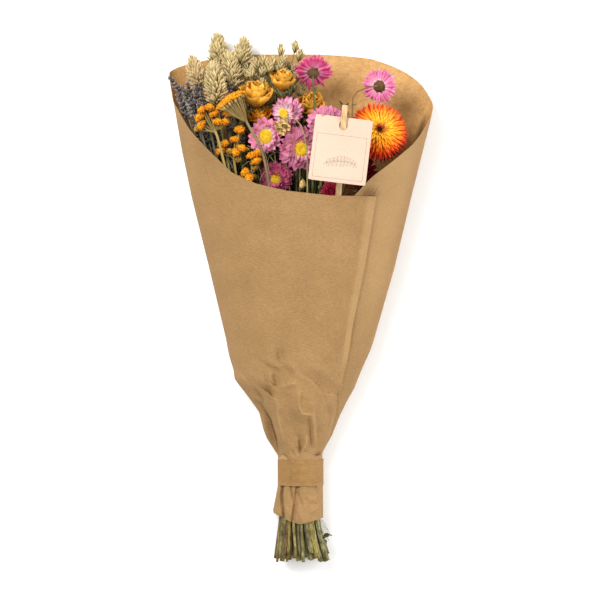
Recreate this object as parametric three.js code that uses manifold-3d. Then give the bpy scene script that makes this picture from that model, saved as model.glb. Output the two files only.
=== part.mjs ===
// Dried flower bouquet in a rolled sheet of kraft paper, lying on its back.
// Millimetres. +Y runs from the cut stems to the flowers, +X is the viewer's right and +Z is up.
// The origin is on the flat underside of the paper, which is what the bouquet rests on.

import * as THREE from 'three';
import { mergeVertices } from 'three/addons/utils/BufferGeometryUtils.js';
import Module from 'manifold-3d';

const wasm = await Module();
wasm.setup();

// Driving dimensions of the paper wrap
const paperThickness = 0.9;
const paperTurns = 44;
const lapGapMouth = 2.6;
const lapGapNeck = 1.35;
const neckTop = -130;
const neckBottom = -153.5;
const seatLevel = 1.5;

// Driving dimensions of the band, the card and its stick
const bandThickness = 0.8;
const fitGap = 0.35;
const cardWidth = 47.5;
const cardHeight = 54.5;
const cardThickness = 0.7;
const cardTurn = -6;
const cardLean = -6;
const cardHole = { halfWidth: 3.8, halfLength: 4.9, fromTop: 9 };
const stickWidth = 5;
const stickThickness = 1;
const stickSlope = 14;
const stickLean = -3;
const holeSpot = new THREE.Vector3(36.5, 145.5, 78.5);

// Driving dimensions of the bundle of stems
const neckMiddle = new THREE.Vector3(0.4, -141.5, 14.8);
const bundleHalfWidth = 12.3;
const bundleHalfDepth = 10;
const stemSpacing = 3.45;
const splay = 1.3;
const cutLevel = -213;

const joinTolerance = 0.07;
const up = new THREE.Vector3(0, 0, 1);
const point = (x, y, z) => new THREE.Vector3(x, y, z);
const radians = THREE.MathUtils.degToRad;

// A seeded draw, so that every build gives the same bouquet
function seeded(seed) {
  let state = seed;
  return () => {
    state = (state * 16807) % 2147483647;
    return state / 2147483647;
  };
}

// Straight lines between the stations of a table of [place, value] pairs
function along(table, place) {
  const last = table.length - 1;
  if (place <= table[0][0]) return table[0][1];
  if (place >= table[last][0]) return table[last][1];
  const next = table.findIndex((station) => station[0] > place);
  const [fromPlace, fromValue] = table[next - 1];
  const [toPlace, toValue] = table[next];
  return fromValue + ((toValue - fromValue) * (place - fromPlace)) / (toPlace - fromPlace);
}

// Closed shapes

function bare(geometry) {
  const copy = geometry.clone();
  copy.deleteAttribute('normal');
  copy.deleteAttribute('uv');
  return mergeVertices(copy, 1e-4);
}

// A turned shape whose even and odd columns may differ, which raises tips, scales and teeth.
// Each row is [radius on even columns, radius on odd columns, height on even, height on odd].
function ringed(rows, columns, wave = () => 1) {
  const profile = rows.map((row) => new THREE.Vector2(row[0], row[2]));
  const shape = new THREE.LatheGeometry(profile, columns);
  shape.rotateX(Math.PI / 2);
  const spots = shape.attributes.position;
  for (let column = 0; column <= columns; column += 1) {
    const angle = (2 * Math.PI * (column % columns)) / columns;
    const odd = column % 2;
    rows.forEach((row, level) => {
      const reach = row[odd] * wave(angle, level);
      const spot = column * rows.length + level;
      spots.setXYZ(spot, reach * Math.cos(angle), reach * Math.sin(angle), row[2 + odd]);
    });
  }
  return outward(bare(shape));
}

// Turns a closed shape so that its faces point out
function outward(shape) {
  const spots = shape.attributes.position;
  const faces = shape.index.array;
  const corners = [point(0, 0, 0), point(0, 0, 0), point(0, 0, 0)];
  const kept = [];
  let volume = 0;
  for (let face = 0; face < faces.length; face += 3) {
    const three = [faces[face], faces[face + 1], faces[face + 2]];
    if (new Set(three).size < 3) continue;
    kept.push(three);
    three.forEach((spot, corner) => corners[corner].fromBufferAttribute(spots, spot));
    volume += corners[0].dot(corners[1].clone().cross(corners[2]));
  }
  const order = volume > 0 ? [0, 1, 2] : [0, 2, 1];
  shape.setIndex(kept.flatMap((three) => order.map((corner) => three[corner])));
  return shape;
}

// A stem or twig along a smooth curve through the given spots
function tube(spots, radius, sides = 5, steps = 6) {
  const ring = Array.from({ length: sides }, (unused, side) => {
    const angle = (2 * Math.PI * side) / sides;
    return new THREE.Vector2(radius * Math.cos(angle), radius * Math.sin(angle));
  });
  const path = new THREE.CatmullRomCurve3(spots, false, 'centripetal');
  const options = { extrudePath: path, steps, bevelEnabled: false, curveSegments: 1 };
  return outward(bare(new THREE.ExtrudeGeometry(new THREE.Shape(ring), options)));
}

// Moves a shape made round +Z so that its foot is at a spot and it faces a direction
function aimed(shape, spot, facing, spin = 0) {
  const turn = new THREE.Quaternion().setFromUnitVectors(up, facing.clone().normalize());
  shape.rotateZ(spin);
  shape.applyQuaternion(turn);
  shape.translate(spot.x, spot.y, spot.z);
  return shape;
}

function toSolid(shape) {
  return new wasm.Manifold(
    new wasm.Mesh({
      numProp: 3,
      vertProperties: new Float32Array(shape.attributes.position.array),
      triVerts: new Uint32Array(shape.index.array),
    }),
  );
}

function fromSolid(solid) {
  const mesh = solid.getMesh();
  const shape = new THREE.BufferGeometry();
  shape.setAttribute('position', new THREE.BufferAttribute(mesh.vertProperties, 3));
  shape.setIndex(new THREE.BufferAttribute(mesh.triVerts, 1));
  return shape;
}

// Joins shapes that grow into each other into one solid
function fused(shapes) {
  const whole = shapes.map(toSolid).reduce((joined, piece) => joined.add(piece));
  return fromSolid(whole.simplify(joinTolerance));
}

const bouquet = new THREE.Group();

function node(name, shape, finish) {
  const mesh = new THREE.Mesh(shape, finish);
  mesh.name = name;
  bouquet.add(mesh);
  return mesh;
}

const finish = (color, roughness = 0.9) =>
  new THREE.MeshStandardMaterial({ color, roughness, metalness: 0 });

const finishes = {
  kraft: finish('#bc9566', 0.85),
  tape: finish('#b78758', 0.7),
  card: finish('#fdead3', 0.8),
  wood: finish('#dcb98a', 0.75),
  canary: finish('#c2a973'),
  oats: finish('#b3a271'),
  lavender: finish('#6a5a6b'),
  button: finish('#f0a92c'),
  rose: finish('#d9972f'),
  orange: finish('#d97d1c'),
  green: finish('#6f6a3a'),
  twig: finish('#7d6a56'),
  petal: finish('#dd6f9c'),
  pale: finish('#e59abb'),
  deepPink: finish('#bf3a6b'),
  disc: finish('#f3c62d'),
  flame: finish('#e2521d'),
  amber: finish('#f59a1e'),
  darkRed: finish('#8c1620'),
  pod: finish('#c9a96a'),
};

// Paper wrap

// The wrap's left and right sides, seen from above, from the skirt to the mouth
const leftSide = [
  [-187, -20], [-177, -23], [-162, -20.5], [-154, -17.9], [-129, -17.9], [-123, -24], [-113, -30],
  [-103, -33], [-93, -36.5], [-83, -43], [-73, -50], [-63, -55.6], [-53, -58.5], [-33, -62],
  [27, -76], [86, -90.5], [126, -98.8], [160, -104.6], [205, -114],
];
const rightSide = [
  [-187, 21], [-162, 20.5], [-154, 18.7], [-129, 18.7], [-123, 23], [-113, 28], [-103, 32], [-93, 36.5],
  [-83, 40.7], [-73, 45.6], [-63, 49.5], [-43, 58], [-33, 62], [27, 79], [86, 93], [126, 103],
  [146, 108], [160, 111], [205, 119],
];
// How far the front stands over the underside, and how far the underside is off the surface
const frontLevel = [
  [-187, 36], [-170, 34], [-154, 30.6], [-129, 30.6], [-113, 36], [-83, 46], [-53, 50], [0, 57],
  [86, 72], [160, 86], [205, 94],
];
const underside = [[-187, 0.4], [-170, 0.8], [-154, seatLevel], [-129, seatLevel], [-85, 0]];
// Depth of the gathers
const gathers = [[-187, 1.8], [-170, 1.2], [-154, 0.4], [-129, 0.4], [-112, 3.4], [-90, 2.6], [-45, 0]];
const gatherCount = 9;
// Angle of the free edge on the front, and how far the sheet laps under it
const freeEdge = [[-187, 20], [-130, 16], [-100, 22], [-78, 39], [-30, 48], [86, 47.5]];
const lapUnder = [[-187, 42], [-100, 42], [-30, 34], [100, 32]];
// Top edge of the sheet by angle, from the edge that is lapped under, round the back, to the free edge
const topEdge = [
  [-312.5, 85.5], [-285, 86], [-262, 90], [-246, 96], [-233, 105], [-225, 116], [-216, 128],
  [-205.3, 141], [-193, 158], [-180, 163.5], [-166, 187], [-147, 192.5], [-123, 197.5],
  [-98, 203], [-90, 203.5], [-76, 200], [-55, 189], [-43, 182.6], [-24, 170], [0, 160], [5.6, 153],
  [23, 129.5], [31, 122], [43.7, 109.5], [56, 101], [75, 92], [82, 90],
];
// Bottom edge of the skirt, seen from above
const skirtEdge = [[-23, -177], [-19, -179.5], [-8, -185], [0, -187], [20, -182.6]];

// The box round the wrap's section at a length station
const wrapBox = (station) => ({
  left: along(leftSide, station),
  right: along(rightSide, station),
  low: along(underside, station),
  high: along(frontLevel, station),
});

// A spot on a section that is domed above its waist and flat below. A fold draws it inwards.
function sectionSpot(box, degrees, fold, station) {
  const waist = box.low + (box.high - box.low) * 0.36;
  const middle = (box.left + box.right) / 2;
  const halfWidth = (box.right - box.left) / 2 - fold;
  const [across, rise] = [Math.cos(radians(degrees)), Math.sin(radians(degrees))];
  if (rise >= 0) return point(middle + halfWidth * across, station, waist + (box.high - waist - fold) * rise);
  const x = middle + halfWidth * Math.sign(across) * Math.sqrt(Math.abs(across));
  const floor = box.low + (box.low > 0 ? fold * 0.5 : 0);
  return point(x, station, Math.max(floor, waist - ((waist - box.low) / 0.9) * Math.sqrt(-rise)));
}

// A spot on the outside of the wrap, with its gathers
function wrapSpot(station, degrees, inward) {
  const gather = along(gathers, station) * (0.5 - 0.5 * Math.cos(gatherCount * radians(degrees)));
  const share = Math.sin(radians(degrees)) >= 0 ? 1 : 0.35;
  return sectionSpot(wrapBox(station), degrees, inward + gather * share, station);
}

// The grid of the sheet's outer face, one column for each step round and one row for each station
function wrapGrid() {
  const stations = [-170, -154.5, -142, -129.5, -122, -112, -98, -78, -52, -15, 30];
  const beyond = [0.5, 1];
  const columns = [];
  for (let turn = 0; turn <= paperTurns; turn += 1) {
    const share = turn / paperTurns;
    const angleAt = (station) => {
      const free = along(freeEdge, station);
      const start = free + along(lapUnder, station);
      return start + (free - 360 - start) * share;
    };
    const inwardAt = (station) => {
      const gap = along([[-130, lapGapNeck], [86, lapGapMouth]], station);
      const free = along(freeEdge, station);
      return gap * THREE.MathUtils.smoothstep(angleAt(station), free - 45, free - 8);
    };
    const spotAt = (station) => wrapSpot(station, angleAt(station), inwardAt(station));
    const top = along(topEdge, angleAt(100));
    const skirt = along(skirtEdge, spotAt(-180).x);
    const column = [skirt, ...stations].map(spotAt);
    const lastStation = stations[stations.length - 1];
    beyond.forEach((part) => column.push(spotAt(lastStation + (top - lastStation) * part)));
    columns.push(column);
  }
  return columns;
}

// A sheet with thickness from the grid of its outer face. Both faces are split into alike triangles.
function sheet(columns, thickness) {
  const rows = columns[0].length;
  const across = columns.length - 1;
  const at = (column, row) =>
    columns[THREE.MathUtils.clamp(column, 0, across)][THREE.MathUtils.clamp(row, 0, rows - 1)];
  const outer = [];
  const inner = [];
  columns.forEach((column, place) => {
    column.forEach((spot, row) => {
      const round = at(place + 1, row).clone().sub(at(place - 1, row));
      const lengthwise = at(place, row + 1).clone().sub(at(place, row - 1));
      const normal = round.cross(lengthwise).normalize();
      outer.push(spot.x, spot.y, spot.z);
      inner.push(...spot.clone().addScaledVector(normal, -thickness).toArray());
    });
  });
  const index = [];
  const half = columns.length * rows;
  const quad = (a, b, c, d) => index.push(a, b, c, a, c, d);
  for (let place = 0; place < across; place += 1) {
    for (let row = 0; row < rows - 1; row += 1) {
      const a = place * rows + row;
      const b = (place + 1) * rows + row;
      quad(a, b, b + 1, a + 1);
      quad(half + a, half + a + 1, half + b + 1, half + b);
      // The inner face repeats the diagonal of the outer one
      index.splice(-6, 6, half + a, half + b + 1, half + b, half + a, half + a + 1, half + b + 1);
    }
  }
  const rim = [];
  for (let place = 0; place < across; place += 1) rim.push(place * rows);
  for (let row = 0; row < rows - 1; row += 1) rim.push(across * rows + row);
  for (let place = across; place > 0; place -= 1) rim.push(place * rows + rows - 1);
  for (let row = rows - 1; row > 0; row -= 1) rim.push(row);
  rim.forEach((spot, step) => {
    const next = rim[(step + 1) % rim.length];
    quad(next, spot, half + spot, half + next);
  });
  const shape = new THREE.BufferGeometry();
  shape.setAttribute('position', new THREE.Float32BufferAttribute([...outer, ...inner], 3));
  shape.setIndex(index);
  return outward(shape);
}

function buildWrap() {
  node('paper_wrap', sheet(wrapGrid(), paperThickness), finishes.kraft);
}

// The tape round the neck, its inside a fit gap clear of the paper
function buildBand() {
  const station = (neckTop + neckBottom) / 2;
  const ring = (grow) => {
    const box = wrapBox(station);
    const grown = {
      left: box.left - grow,
      right: box.right + grow,
      low: box.low - grow,
      high: box.high + grow,
    };
    return Array.from({ length: 36 }, (unused, step) => {
      const spot = sectionSpot(grown, step * 10, 0, station);
      return new THREE.Vector2(spot.x, spot.z);
    });
  };
  const section = new THREE.Shape(ring(fitGap + bandThickness));
  section.holes.push(new THREE.Path(ring(fitGap)));
  const options = { depth: neckTop - neckBottom, bevelEnabled: false };
  const band = new THREE.ExtrudeGeometry(section, options);
  band.rotateX(Math.PI / 2);
  band.translate(0, neckTop, 0);
  node('paper_band', outward(bare(band)), finishes.tape);
}

// The card hangs on its stick, which goes through the punched hole: over the card above the hole,
// under it below
function buildCard() {
  const half = cardWidth / 2;
  const holeHeight = cardHeight - cardHole.fromTop;
  const outline = new THREE.Shape();
  outline.moveTo(-half, -holeHeight);
  outline.lineTo(half, -holeHeight);
  outline.lineTo(half, cardHole.fromTop);
  outline.lineTo(-half, cardHole.fromTop);
  const hole = new THREE.Path();
  hole.absellipse(0, 0, cardHole.halfWidth, cardHole.halfLength, 0, 2 * Math.PI);
  outline.holes.push(hole);
  const options = { depth: cardThickness, bevelEnabled: false, curveSegments: 16 };
  const card = new THREE.ExtrudeGeometry(outline, options);
  card.translate(0, 0, -cardThickness / 2);
  const mesh = node('card', outward(bare(card)), finishes.card);
  mesh.rotation.set(radians(cardLean), 0, radians(cardTurn), 'ZYX');
  mesh.position.copy(holeSpot);
}

function buildStick() {
  const above = 17;
  const below = 120;
  const half = stickWidth / 2;
  const outline = new THREE.Shape();
  outline.moveTo(-half, -below);
  outline.lineTo(half, -below);
  outline.lineTo(half, above - 8);
  outline.lineTo(half - 0.3, above);
  outline.lineTo(-half + 0.3, above);
  outline.lineTo(-half, above - 8);
  const stick = new THREE.ExtrudeGeometry(outline, { depth: stickThickness, bevelEnabled: false });
  stick.translate(0, 0, -stickThickness / 2);
  const mesh = node('wooden_stick', outward(bare(stick)), finishes.wood);
  mesh.rotation.set(radians(stickSlope), 0, radians(stickLean), 'ZYX');
  mesh.position.copy(holeSpot);
}

// Stems

// Where each stem crosses the neck: in the same order as the heads, then pushed apart in the bundle
function neckSlots(stems) {
  const slots = stems.map((stem) => {
    const away = (stem.via?.[0] ?? stem.foot).clone().sub(neckMiddle);
    const [aside, raised] = stem.nudge ?? [0, 0];
    return { x: (away.x / away.y) * 42 + aside, z: (away.z / away.y - 0.1) * 110 + raised };
  });
  for (let pass = 0; pass < 400; pass += 1) {
    slots.forEach((slot, place) => {
      slots.slice(place + 1).forEach((other) => {
        const away = { x: slot.x - other.x, z: slot.z - other.z };
        const apart = Math.hypot(away.x, away.z) || 0.01;
        const push = Math.max(0, stemSpacing - apart) / apart / 4;
        slot.x += away.x * push;
        slot.z += away.z * push;
        other.x -= away.x * push;
        other.z -= away.z * push;
      });
      const reach = Math.hypot(slot.x / bundleHalfWidth, slot.z / bundleHalfDepth);
      if (reach > 1) {
        slot.x /= reach;
        slot.z /= reach;
      }
    });
  }
  return slots;
}

const cutDraw = seeded(41);

// The route of one stem, from its cut end through the neck to the foot of its head
function stemRoute(stem, slot) {
  const cutPlace = cutLevel - 4 * cutDraw();
  const cut = point(neckMiddle.x + slot.x * splay, cutPlace, neckMiddle.z + slot.z * splay * 0.98);
  const neck = point(neckMiddle.x + slot.x, neckMiddle.y, neckMiddle.z + slot.z);
  const bend = stem.bend ?? 9;
  const under = stem.foot.clone().addScaledVector(stem.facing, -bend);
  const via = stem.via ?? [];
  const reach = (via[0] ?? under).clone().sub(neck);
  const route = [cut, neck, neck.clone().addScaledVector(reach, 0.45)];
  return [...route, ...via, under, stem.foot.clone().addScaledVector(stem.facing, stem.sunk ?? 0)];
}

// Heads

// Canary grass: close rows of pointed scales, alternate columns raised
function canaryHead(length, halfWidth, flatness) {
  const levels = 10;
  const rows = [[0, 0, 0, 0]];
  for (let level = 1; level < levels; level += 1) {
    const share = level / levels;
    const girth = halfWidth * Math.sin(Math.PI * share ** 0.8) ** 0.7;
    const raised = (column) => (column + level) % 2;
    const reach = (column) => girth * (raised(column) ? 1 : 0.68);
    const height = (column) => length * share + (raised(column) ? 1.6 : -0.6);
    rows.push([reach(0), reach(1), height(0), height(1)]);
  }
  rows.push([0, 0, length, length]);
  return ringed(rows, 10).scale(1, flatness, 1);
}

// Lavender: whorls of buds with a narrow waist between them
function lavenderSpike(length, halfWidth) {
  const whorls = 5;
  const rows = [[0, 0, 0, 0]];
  for (let whorl = 0; whorl < whorls; whorl += 1) {
    const foot = (length * whorl) / whorls;
    const size = halfWidth * (whorl === whorls - 1 ? 0.7 : 1);
    const tall = length / whorls;
    const first = whorl % 2;
    const wide = first ? [size * 0.72, size] : [size, size * 0.72];
    rows.push([1.3, 1.3, foot + tall * 0.12, foot + tall * 0.12]);
    rows.push([...wide, foot + tall * 0.62, foot + tall * 0.62]);
  }
  rows.push([0, 0, length, length]);
  return ringed(rows, 8);
}

// A domed button of tiny florets
const button = (radius) => outward(bare(new THREE.IcosahedronGeometry(radius, 0)));

// A small ear of grain in its husk
function ear(length, halfWidth) {
  return ringed([
    [0, 0, 0, 0],
    [halfWidth * 0.8, halfWidth * 0.6, length * 0.25, length * 0.2],
    [halfWidth, halfWidth * 0.75, length * 0.55, length * 0.5],
    [halfWidth * 0.6, halfWidth * 0.4, length * 0.85, length * 0.78],
    [0, 0, length, length],
  ], 6);
}

// Two layers of papery petals on a shallow dish. Tips lie on even columns below, on odd ones above.
function petalDish(radius, petals, rise, thick = 0.8, layerGap = 1.3) {
  const level = (reach) => rise * (reach / radius) ** 1.4;
  const row = (even, odd, lift) => [even, odd, level(even) + lift, level(odd) + lift];
  const upper = thick + layerGap;
  return ringed([
    [0, 0, 0, 0],
    row(radius * 0.25, radius * 0.25, 0),
    row(radius, radius * 0.64, 0),
    row(radius, radius * 0.64, thick),
    row(radius * 0.3, radius * 0.3, thick),
    row(radius * 0.52, radius * 0.84, upper),
    row(radius * 0.52, radius * 0.84, upper + thick),
    row(radius * 0.25, radius * 0.25, upper + thick),
    [0, 0, upper + thick, upper + thick],
  ], petals * 2);
}

const dishHeight = 0.8 + 1.3 + 0.8;
const petalRise = 0.2;

// The domed middle of a daisy
function flowerDisc(radius) {
  return ringed([
    [0, 0, 0, 0],
    [radius, radius * 0.9, 0, 0],
    [radius * 0.95, radius, radius * 0.35, radius * 0.45],
    [radius * 0.62, radius * 0.55, radius * 0.62, radius * 0.7],
    [0, 0, radius * 0.66, radius * 0.66],
  ], 10);
}

// Stacked rings of pointed bracts, each ring turned half a step from the one below
function bractRings(radius, bracts, rings, rise, narrowest) {
  const rows = [[0, 0, 0, 0]];
  const thick = 0.9;
  for (let ring = 0; ring < rings; ring += 1) {
    const share = rings > 1 ? ring / (rings - 1) : 0;
    const reach = radius * (1 - (1 - narrowest) * share);
    const foot = ring * (thick + 1.1);
    const tips = ring % 2 ? [reach * 0.82, reach] : [reach, reach * 0.82];
    const lift = (place) => foot + rise * (place / radius) ** 1.5;
    const root = reach * 0.45;
    rows.push([root, root, lift(root), lift(root)]);
    rows.push([...tips, lift(tips[0]), lift(tips[1])]);
    rows.push([...tips, lift(tips[0]) + thick, lift(tips[1]) + thick]);
    if (ring === rings - 1) {
      rows.push([root, root, lift(root) + thick, lift(root) + thick]);
      rows.push([0, 0, foot + thick, foot + thick]);
    }
  }
  return ringed(rows, bracts * 2);
}

// A dried rose: three wavy walls of petals, one inside the other, round a closed heart
function roseBloom(radius, height) {
  const wall = (share, rim, foot) => [
    [radius * share, radius * share * 0.97, height * foot, height * foot],
    [radius * share * 0.96, radius * share * 0.92, height * rim, height * (rim - 0.07)],
    [radius * share * 0.96 - 1.3, radius * share * 0.92 - 1.3, height * rim, height * (rim - 0.07)],
  ];
  const rows = [
    [0, 0, 0, 0],
    [radius * 0.62, radius * 0.6, height * 0.12, height * 0.12],
    ...wall(1, 0.86, 0.45),
    ...wall(0.72, 0.98, 0.62),
    ...wall(0.42, 0.95, 0.7),
    [0, 0, height * 0.8, height * 0.8],
  ];
  const wave = (angle, level) => 1 + 0.06 * Math.sin(3 * angle + Math.floor((level + 1) / 3) * 2);
  return ringed(rows, 14, wave);
}

// Every stem with its head. A foot is where the stem meets the head, in the order
// of the neck slots, and facing is the way that the head points.
const toward = (x, y, z) => point(x, y, z).normalize();

const canaries = [
  { middle: point(-68, 208, 15), facing: toward(-0.12, 1, 0), length: 32, halfWidth: 9.5 },
  { middle: point(-48, 206, 15), facing: toward(0.1, 1, 0.02), length: 28, halfWidth: 8 },
  { middle: point(-58, 191, 33), facing: toward(-0.05, 1, 0.05), length: 34, halfWidth: 10 },
  { middle: point(-70.5, 180, 51), facing: toward(-0.12, 1, 0.08), length: 36, halfWidth: 10.5 },
  { middle: point(-87, 190, 27), facing: toward(-0.3, 1, 0.05), length: 26, halfWidth: 7.5 },
  { middle: point(-40, 183, 23), facing: toward(0, 1, 0), length: 24, halfWidth: 6.5, nudge: [-1, -2] },
  { middle: point(-31, 182, 13), facing: toward(0.05, 1, 0), length: 24, halfWidth: 6.5 },
].map((head) => ({
  ...head,
  foot: head.middle.clone().addScaledVector(head.facing, -head.length / 2),
  radius: 1.3,
  sunk: 3,
}));

const lavenders = [
  { foot: point(-87, 161, 37), facing: toward(-0.66, 0.72, 0.22), length: 34 },
  { foot: point(-86, 149, 51), facing: toward(-0.42, 1, 0), length: 31 },
  { foot: point(-77, 146, 50), facing: toward(-0.36, 1, 0.05), length: 32 },
  { foot: point(-71, 150, 33), facing: toward(-0.2, 1, 0), length: 28 },
  { foot: point(-58.5, 139, 48), facing: toward(-0.12, 1, 0.05), length: 23 },
].map((head) => ({ ...head, radius: 1.2, sunk: 2 }));

const sprays = [
  {
    name: 'yarrow_umbel',
    foot: point(-45.6, 152, 65),
    facing: toward(-0.3, 1, 0.1),
    via: [point(-25, 91, 64), point(-31.5, 123, 65.5), point(-38, 136, 66)],
    bend: 5,
    radius: 1.5,
  },
  {
    name: 'yellow_spray_1',
    foot: point(-70.5, 141, 63),
    facing: toward(-0.35, 1, 0),
    radius: 1.3,
    buttons: [
      [-80.5, 156, 62], [-74.7, 158, 64], [-70, 153.5, 62], [-82, 150, 61], [-80.5, 144, 62],
      [-68, 146, 65], [-60.6, 153, 62], [-62, 146, 61],
    ],
  },
  {
    name: 'yellow_spray_2',
    foot: point(-55, 121, 54),
    facing: toward(-0.1, 1, 0),
    radius: 1.3,
    buttons: [
      [-62, 128.6, 55], [-54, 132, 57], [-50, 140, 60], [-48.5, 125, 59], [-65, 122.5, 53], [-53, 122, 59],
    ],
  },
  {
    name: 'yellow_spray_3',
    foot: point(-40, 107, 56),
    facing: toward(0, 1, 0.1),
    radius: 1.2,
    buttons: [[-40, 118.5, 58], [-35, 120.5, 58], [-35.5, 114, 60], [-45, 105, 58], [-42, 100, 60]],
  },
];

const roses = [
  {
    middle: point(-35, 171, 49),
    facing: toward(0.12, 0.75, 0.65),
    size: 13.5,
    via: [point(-49, 151, 43)],
    bend: 3,
  },
  { middle: point(-14, 183, 48), facing: toward(0.2, 0.8, 0.55), size: 10, nudge: [2, -2] },
  { middle: point(-34, 154, 34.5), facing: toward(0, 0.6, 0.8), size: 9.5, nudge: [0, 1.5] },
  { middle: point(10, 166, 37), facing: toward(0.1, 0.5, 0.85), size: 11.5 },
];

const daisies = [
  { middle: point(-29, 136, 50), facing: toward(0.05, -0.1, 1), size: 16, color: 'petal' },
  { middle: point(0, 126, 58), facing: toward(0.2, -0.2, 1), size: 18, color: 'pale' },
  { middle: point(-10, 159, 50), facing: toward(-0.5, -0.45, 0.75), size: 11.5, color: 'petal' },
  { middle: point(21, 146, 68), facing: toward(0.05, 0.05, 1), size: 15.5, color: 'pale' },
  {
    middle: point(11, 189, 36),
    facing: toward(0, 0.6, -0.8),
    size: 16,
    color: 'deepPink',
    via: [point(12, 155, 52)],
  },
  {
    middle: point(66, 178, 36),
    facing: toward(0.3, 0.05, -0.95),
    size: 14.5,
    color: 'petal',
    via: [point(43, 150, 60), point(45, 170, 58)],
  },
  {
    middle: point(-20, 106, 47),
    facing: toward(-0.1, -0.3, 0.95),
    size: 13,
    color: 'deepPink',
    nudge: [-1.5, 1.5],
  },
];

const strawflowers = [
  { name: 'flame', middle: point(64, 138, 42), facing: toward(0.2, 0.35, 0.9), size: 25, nudge: [-2, 0.5] },
  {
    name: 'dark_red',
    middle: point(51, 110, 34),
    facing: toward(0, -0.1, 1),
    size: 12,
    bend: 4,
    nudge: [-1.5, -1.5],
  },
  { name: 'crimson', middle: point(25, 92, 50), facing: toward(0, 0, 1), size: 8.5 },
];

const oatStems = [
  {
    foot: point(-27, 184, 31),
    facing: toward(0, 1, 0),
    radius: 1.2,
    ears: [
      [-35, 191, 38, -0.35], [-30, 193, 35, -0.15], [-23, 192, 31, 0.1], [-16, 193, 32, 0.35],
      [-26, 186, 37, -0.1], [-17, 185, 30, 0.4],
    ],
  },
  {
    foot: point(-9, 195, 22),
    facing: toward(0, 1, 0),
    radius: 1.2,
    ears: [[-15.8, 203, 22, -0.05], [-4.5, 206, 22, 0.05], [-1.5, 199, 24, 0.2]],
  },
];

const podStem = {
  foot: point(-14, 148.6, 68),
  facing: toward(-0.5, -1, -0.1),
  via: [point(6, 100, 65), point(5, 128, 71), point(0, 145, 71), point(-8, 151, 70)],
  bend: 2,
  radius: 1,
};

// Where the stem of a bloom meets its calyx, just under the bloom
const calyxGap = 0.4;
const calyxLength = 4;
const belowBloom = (bloom, drop) => ({
  ...bloom,
  radius: bloom.size > 20 ? 1.8 : 1.4,
  foot: bloom.middle.clone().addScaledVector(bloom.facing, -drop - calyxGap - calyxLength),
  sunk: 1.5,
});
const roseDrop = (rose) => rose.size * 0.6;
const roseStems = roses.map((rose) => belowBloom(rose, roseDrop(rose)));
const daisyStems = daisies.map((daisy) => belowBloom(daisy, 0));
const strawStems = strawflowers.map((straw) => belowBloom(straw, 0));

const plan = [
  ...canaries, ...lavenders, ...sprays, ...roseStems, ...daisyStems, ...strawStems, ...oatStems, podStem,
];
const slots = neckSlots(plan);
const routes = new Map(plan.map((stem, place) => [stem, stemRoute(stem, slots[place])]));
const growStem = (stem, steps = 6) => tube(routes.get(stem), stem.radius, 5, steps);

function calyx(width) {
  return ringed([
    [0, 0, 0, 0],
    [width * 0.5, width * 0.45, 0.6, 0.6],
    [width, width * 0.8, calyxLength, calyxLength - 0.8],
    [0, 0, calyxLength, calyxLength],
  ], 8);
}

function stemWithCalyx(name, stem, width) {
  const cup = aimed(calyx(width), stem.foot, stem.facing);
  node(name, fused([growStem(stem, stem.via ? 10 : 7), cup]), finishes.green);
}

function placed(name, shape, spot, facing, material) {
  const mesh = node(name, shape, material);
  mesh.position.copy(spot);
  mesh.quaternion.setFromUnitVectors(up, facing);
}

function buildCanaryGrass() {
  canaries.forEach((stem, place) => {
    const head = aimed(canaryHead(stem.length, stem.halfWidth, 0.8), stem.foot, stem.facing, place);
    node(`canary_grass_${place + 1}`, fused([head, growStem(stem, 5)]), finishes.canary);
  });
}

function buildLavender() {
  lavenders.forEach((stem, place) => {
    const spike = aimed(lavenderSpike(stem.length, 4.3), stem.foot, stem.facing, place);
    node(`lavender_${place + 1}`, fused([spike, growStem(stem, 5)]), finishes.lavender);
  });
}

function buildSprays() {
  sprays.forEach((stem) => {
    const from = stem.foot.clone().addScaledVector(stem.facing, -6);
    const pieces = [growStem(stem, 7)];
    (stem.buttons ?? []).forEach((spot, place) => {
      const centre = point(...spot);
      const root = from.clone().lerp(stem.foot, (place + 0.6) / (stem.buttons.length + 1));
      const knee = root.clone().lerp(centre, 0.6).add(point(0, -1.5, 0));
      pieces.push(tube([root, knee, centre], 0.8, 3, 2));
      pieces.push(button(3.5 + 0.4 * (place % 2)).translate(...spot));
    });
    if (!stem.buttons) {
      const facing = toward(-0.66, 0.62, 0.42);
      const spread = 13;
      const middle = point(-57, 165, 67);
      const dome = ringed([
        [0, 0, 0, 0],
        [spread, spread * 0.88, 0.4, 0],
        [spread * 0.96, spread * 0.9, 2.6, 2],
        [spread * 0.6, spread * 0.55, 3.2, 4],
        [0, 0, 3.6, 3.6],
      ], 14);
      pieces.push(aimed(dome, middle, facing));
      const across = toward(0.62, 0.66, 0);
      [-9, -4, 1, 6, 10].forEach((offset) => {
        const end = middle.clone().addScaledVector(across, offset).addScaledVector(facing, 1.2);
        pieces.push(tube([from, from.clone().lerp(end, 0.5), end], 0.9, 3, 2));
      });
    }
    node(stem.name, fused(pieces), stem.buttons ? finishes.button : finishes.twig);
  });
}

function buildRoses() {
  roses.forEach((rose, place) => {
    const foot = rose.middle.clone().addScaledVector(rose.facing, -roseDrop(rose));
    const colour = place === 2 ? finishes.orange : finishes.rose;
    placed(`rose_${place + 1}`, roseBloom(rose.size, rose.size * 1.25), foot, rose.facing, colour);
    stemWithCalyx(`rose_stem_${place + 1}`, roseStems[place], 3.6);
  });
}

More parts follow.
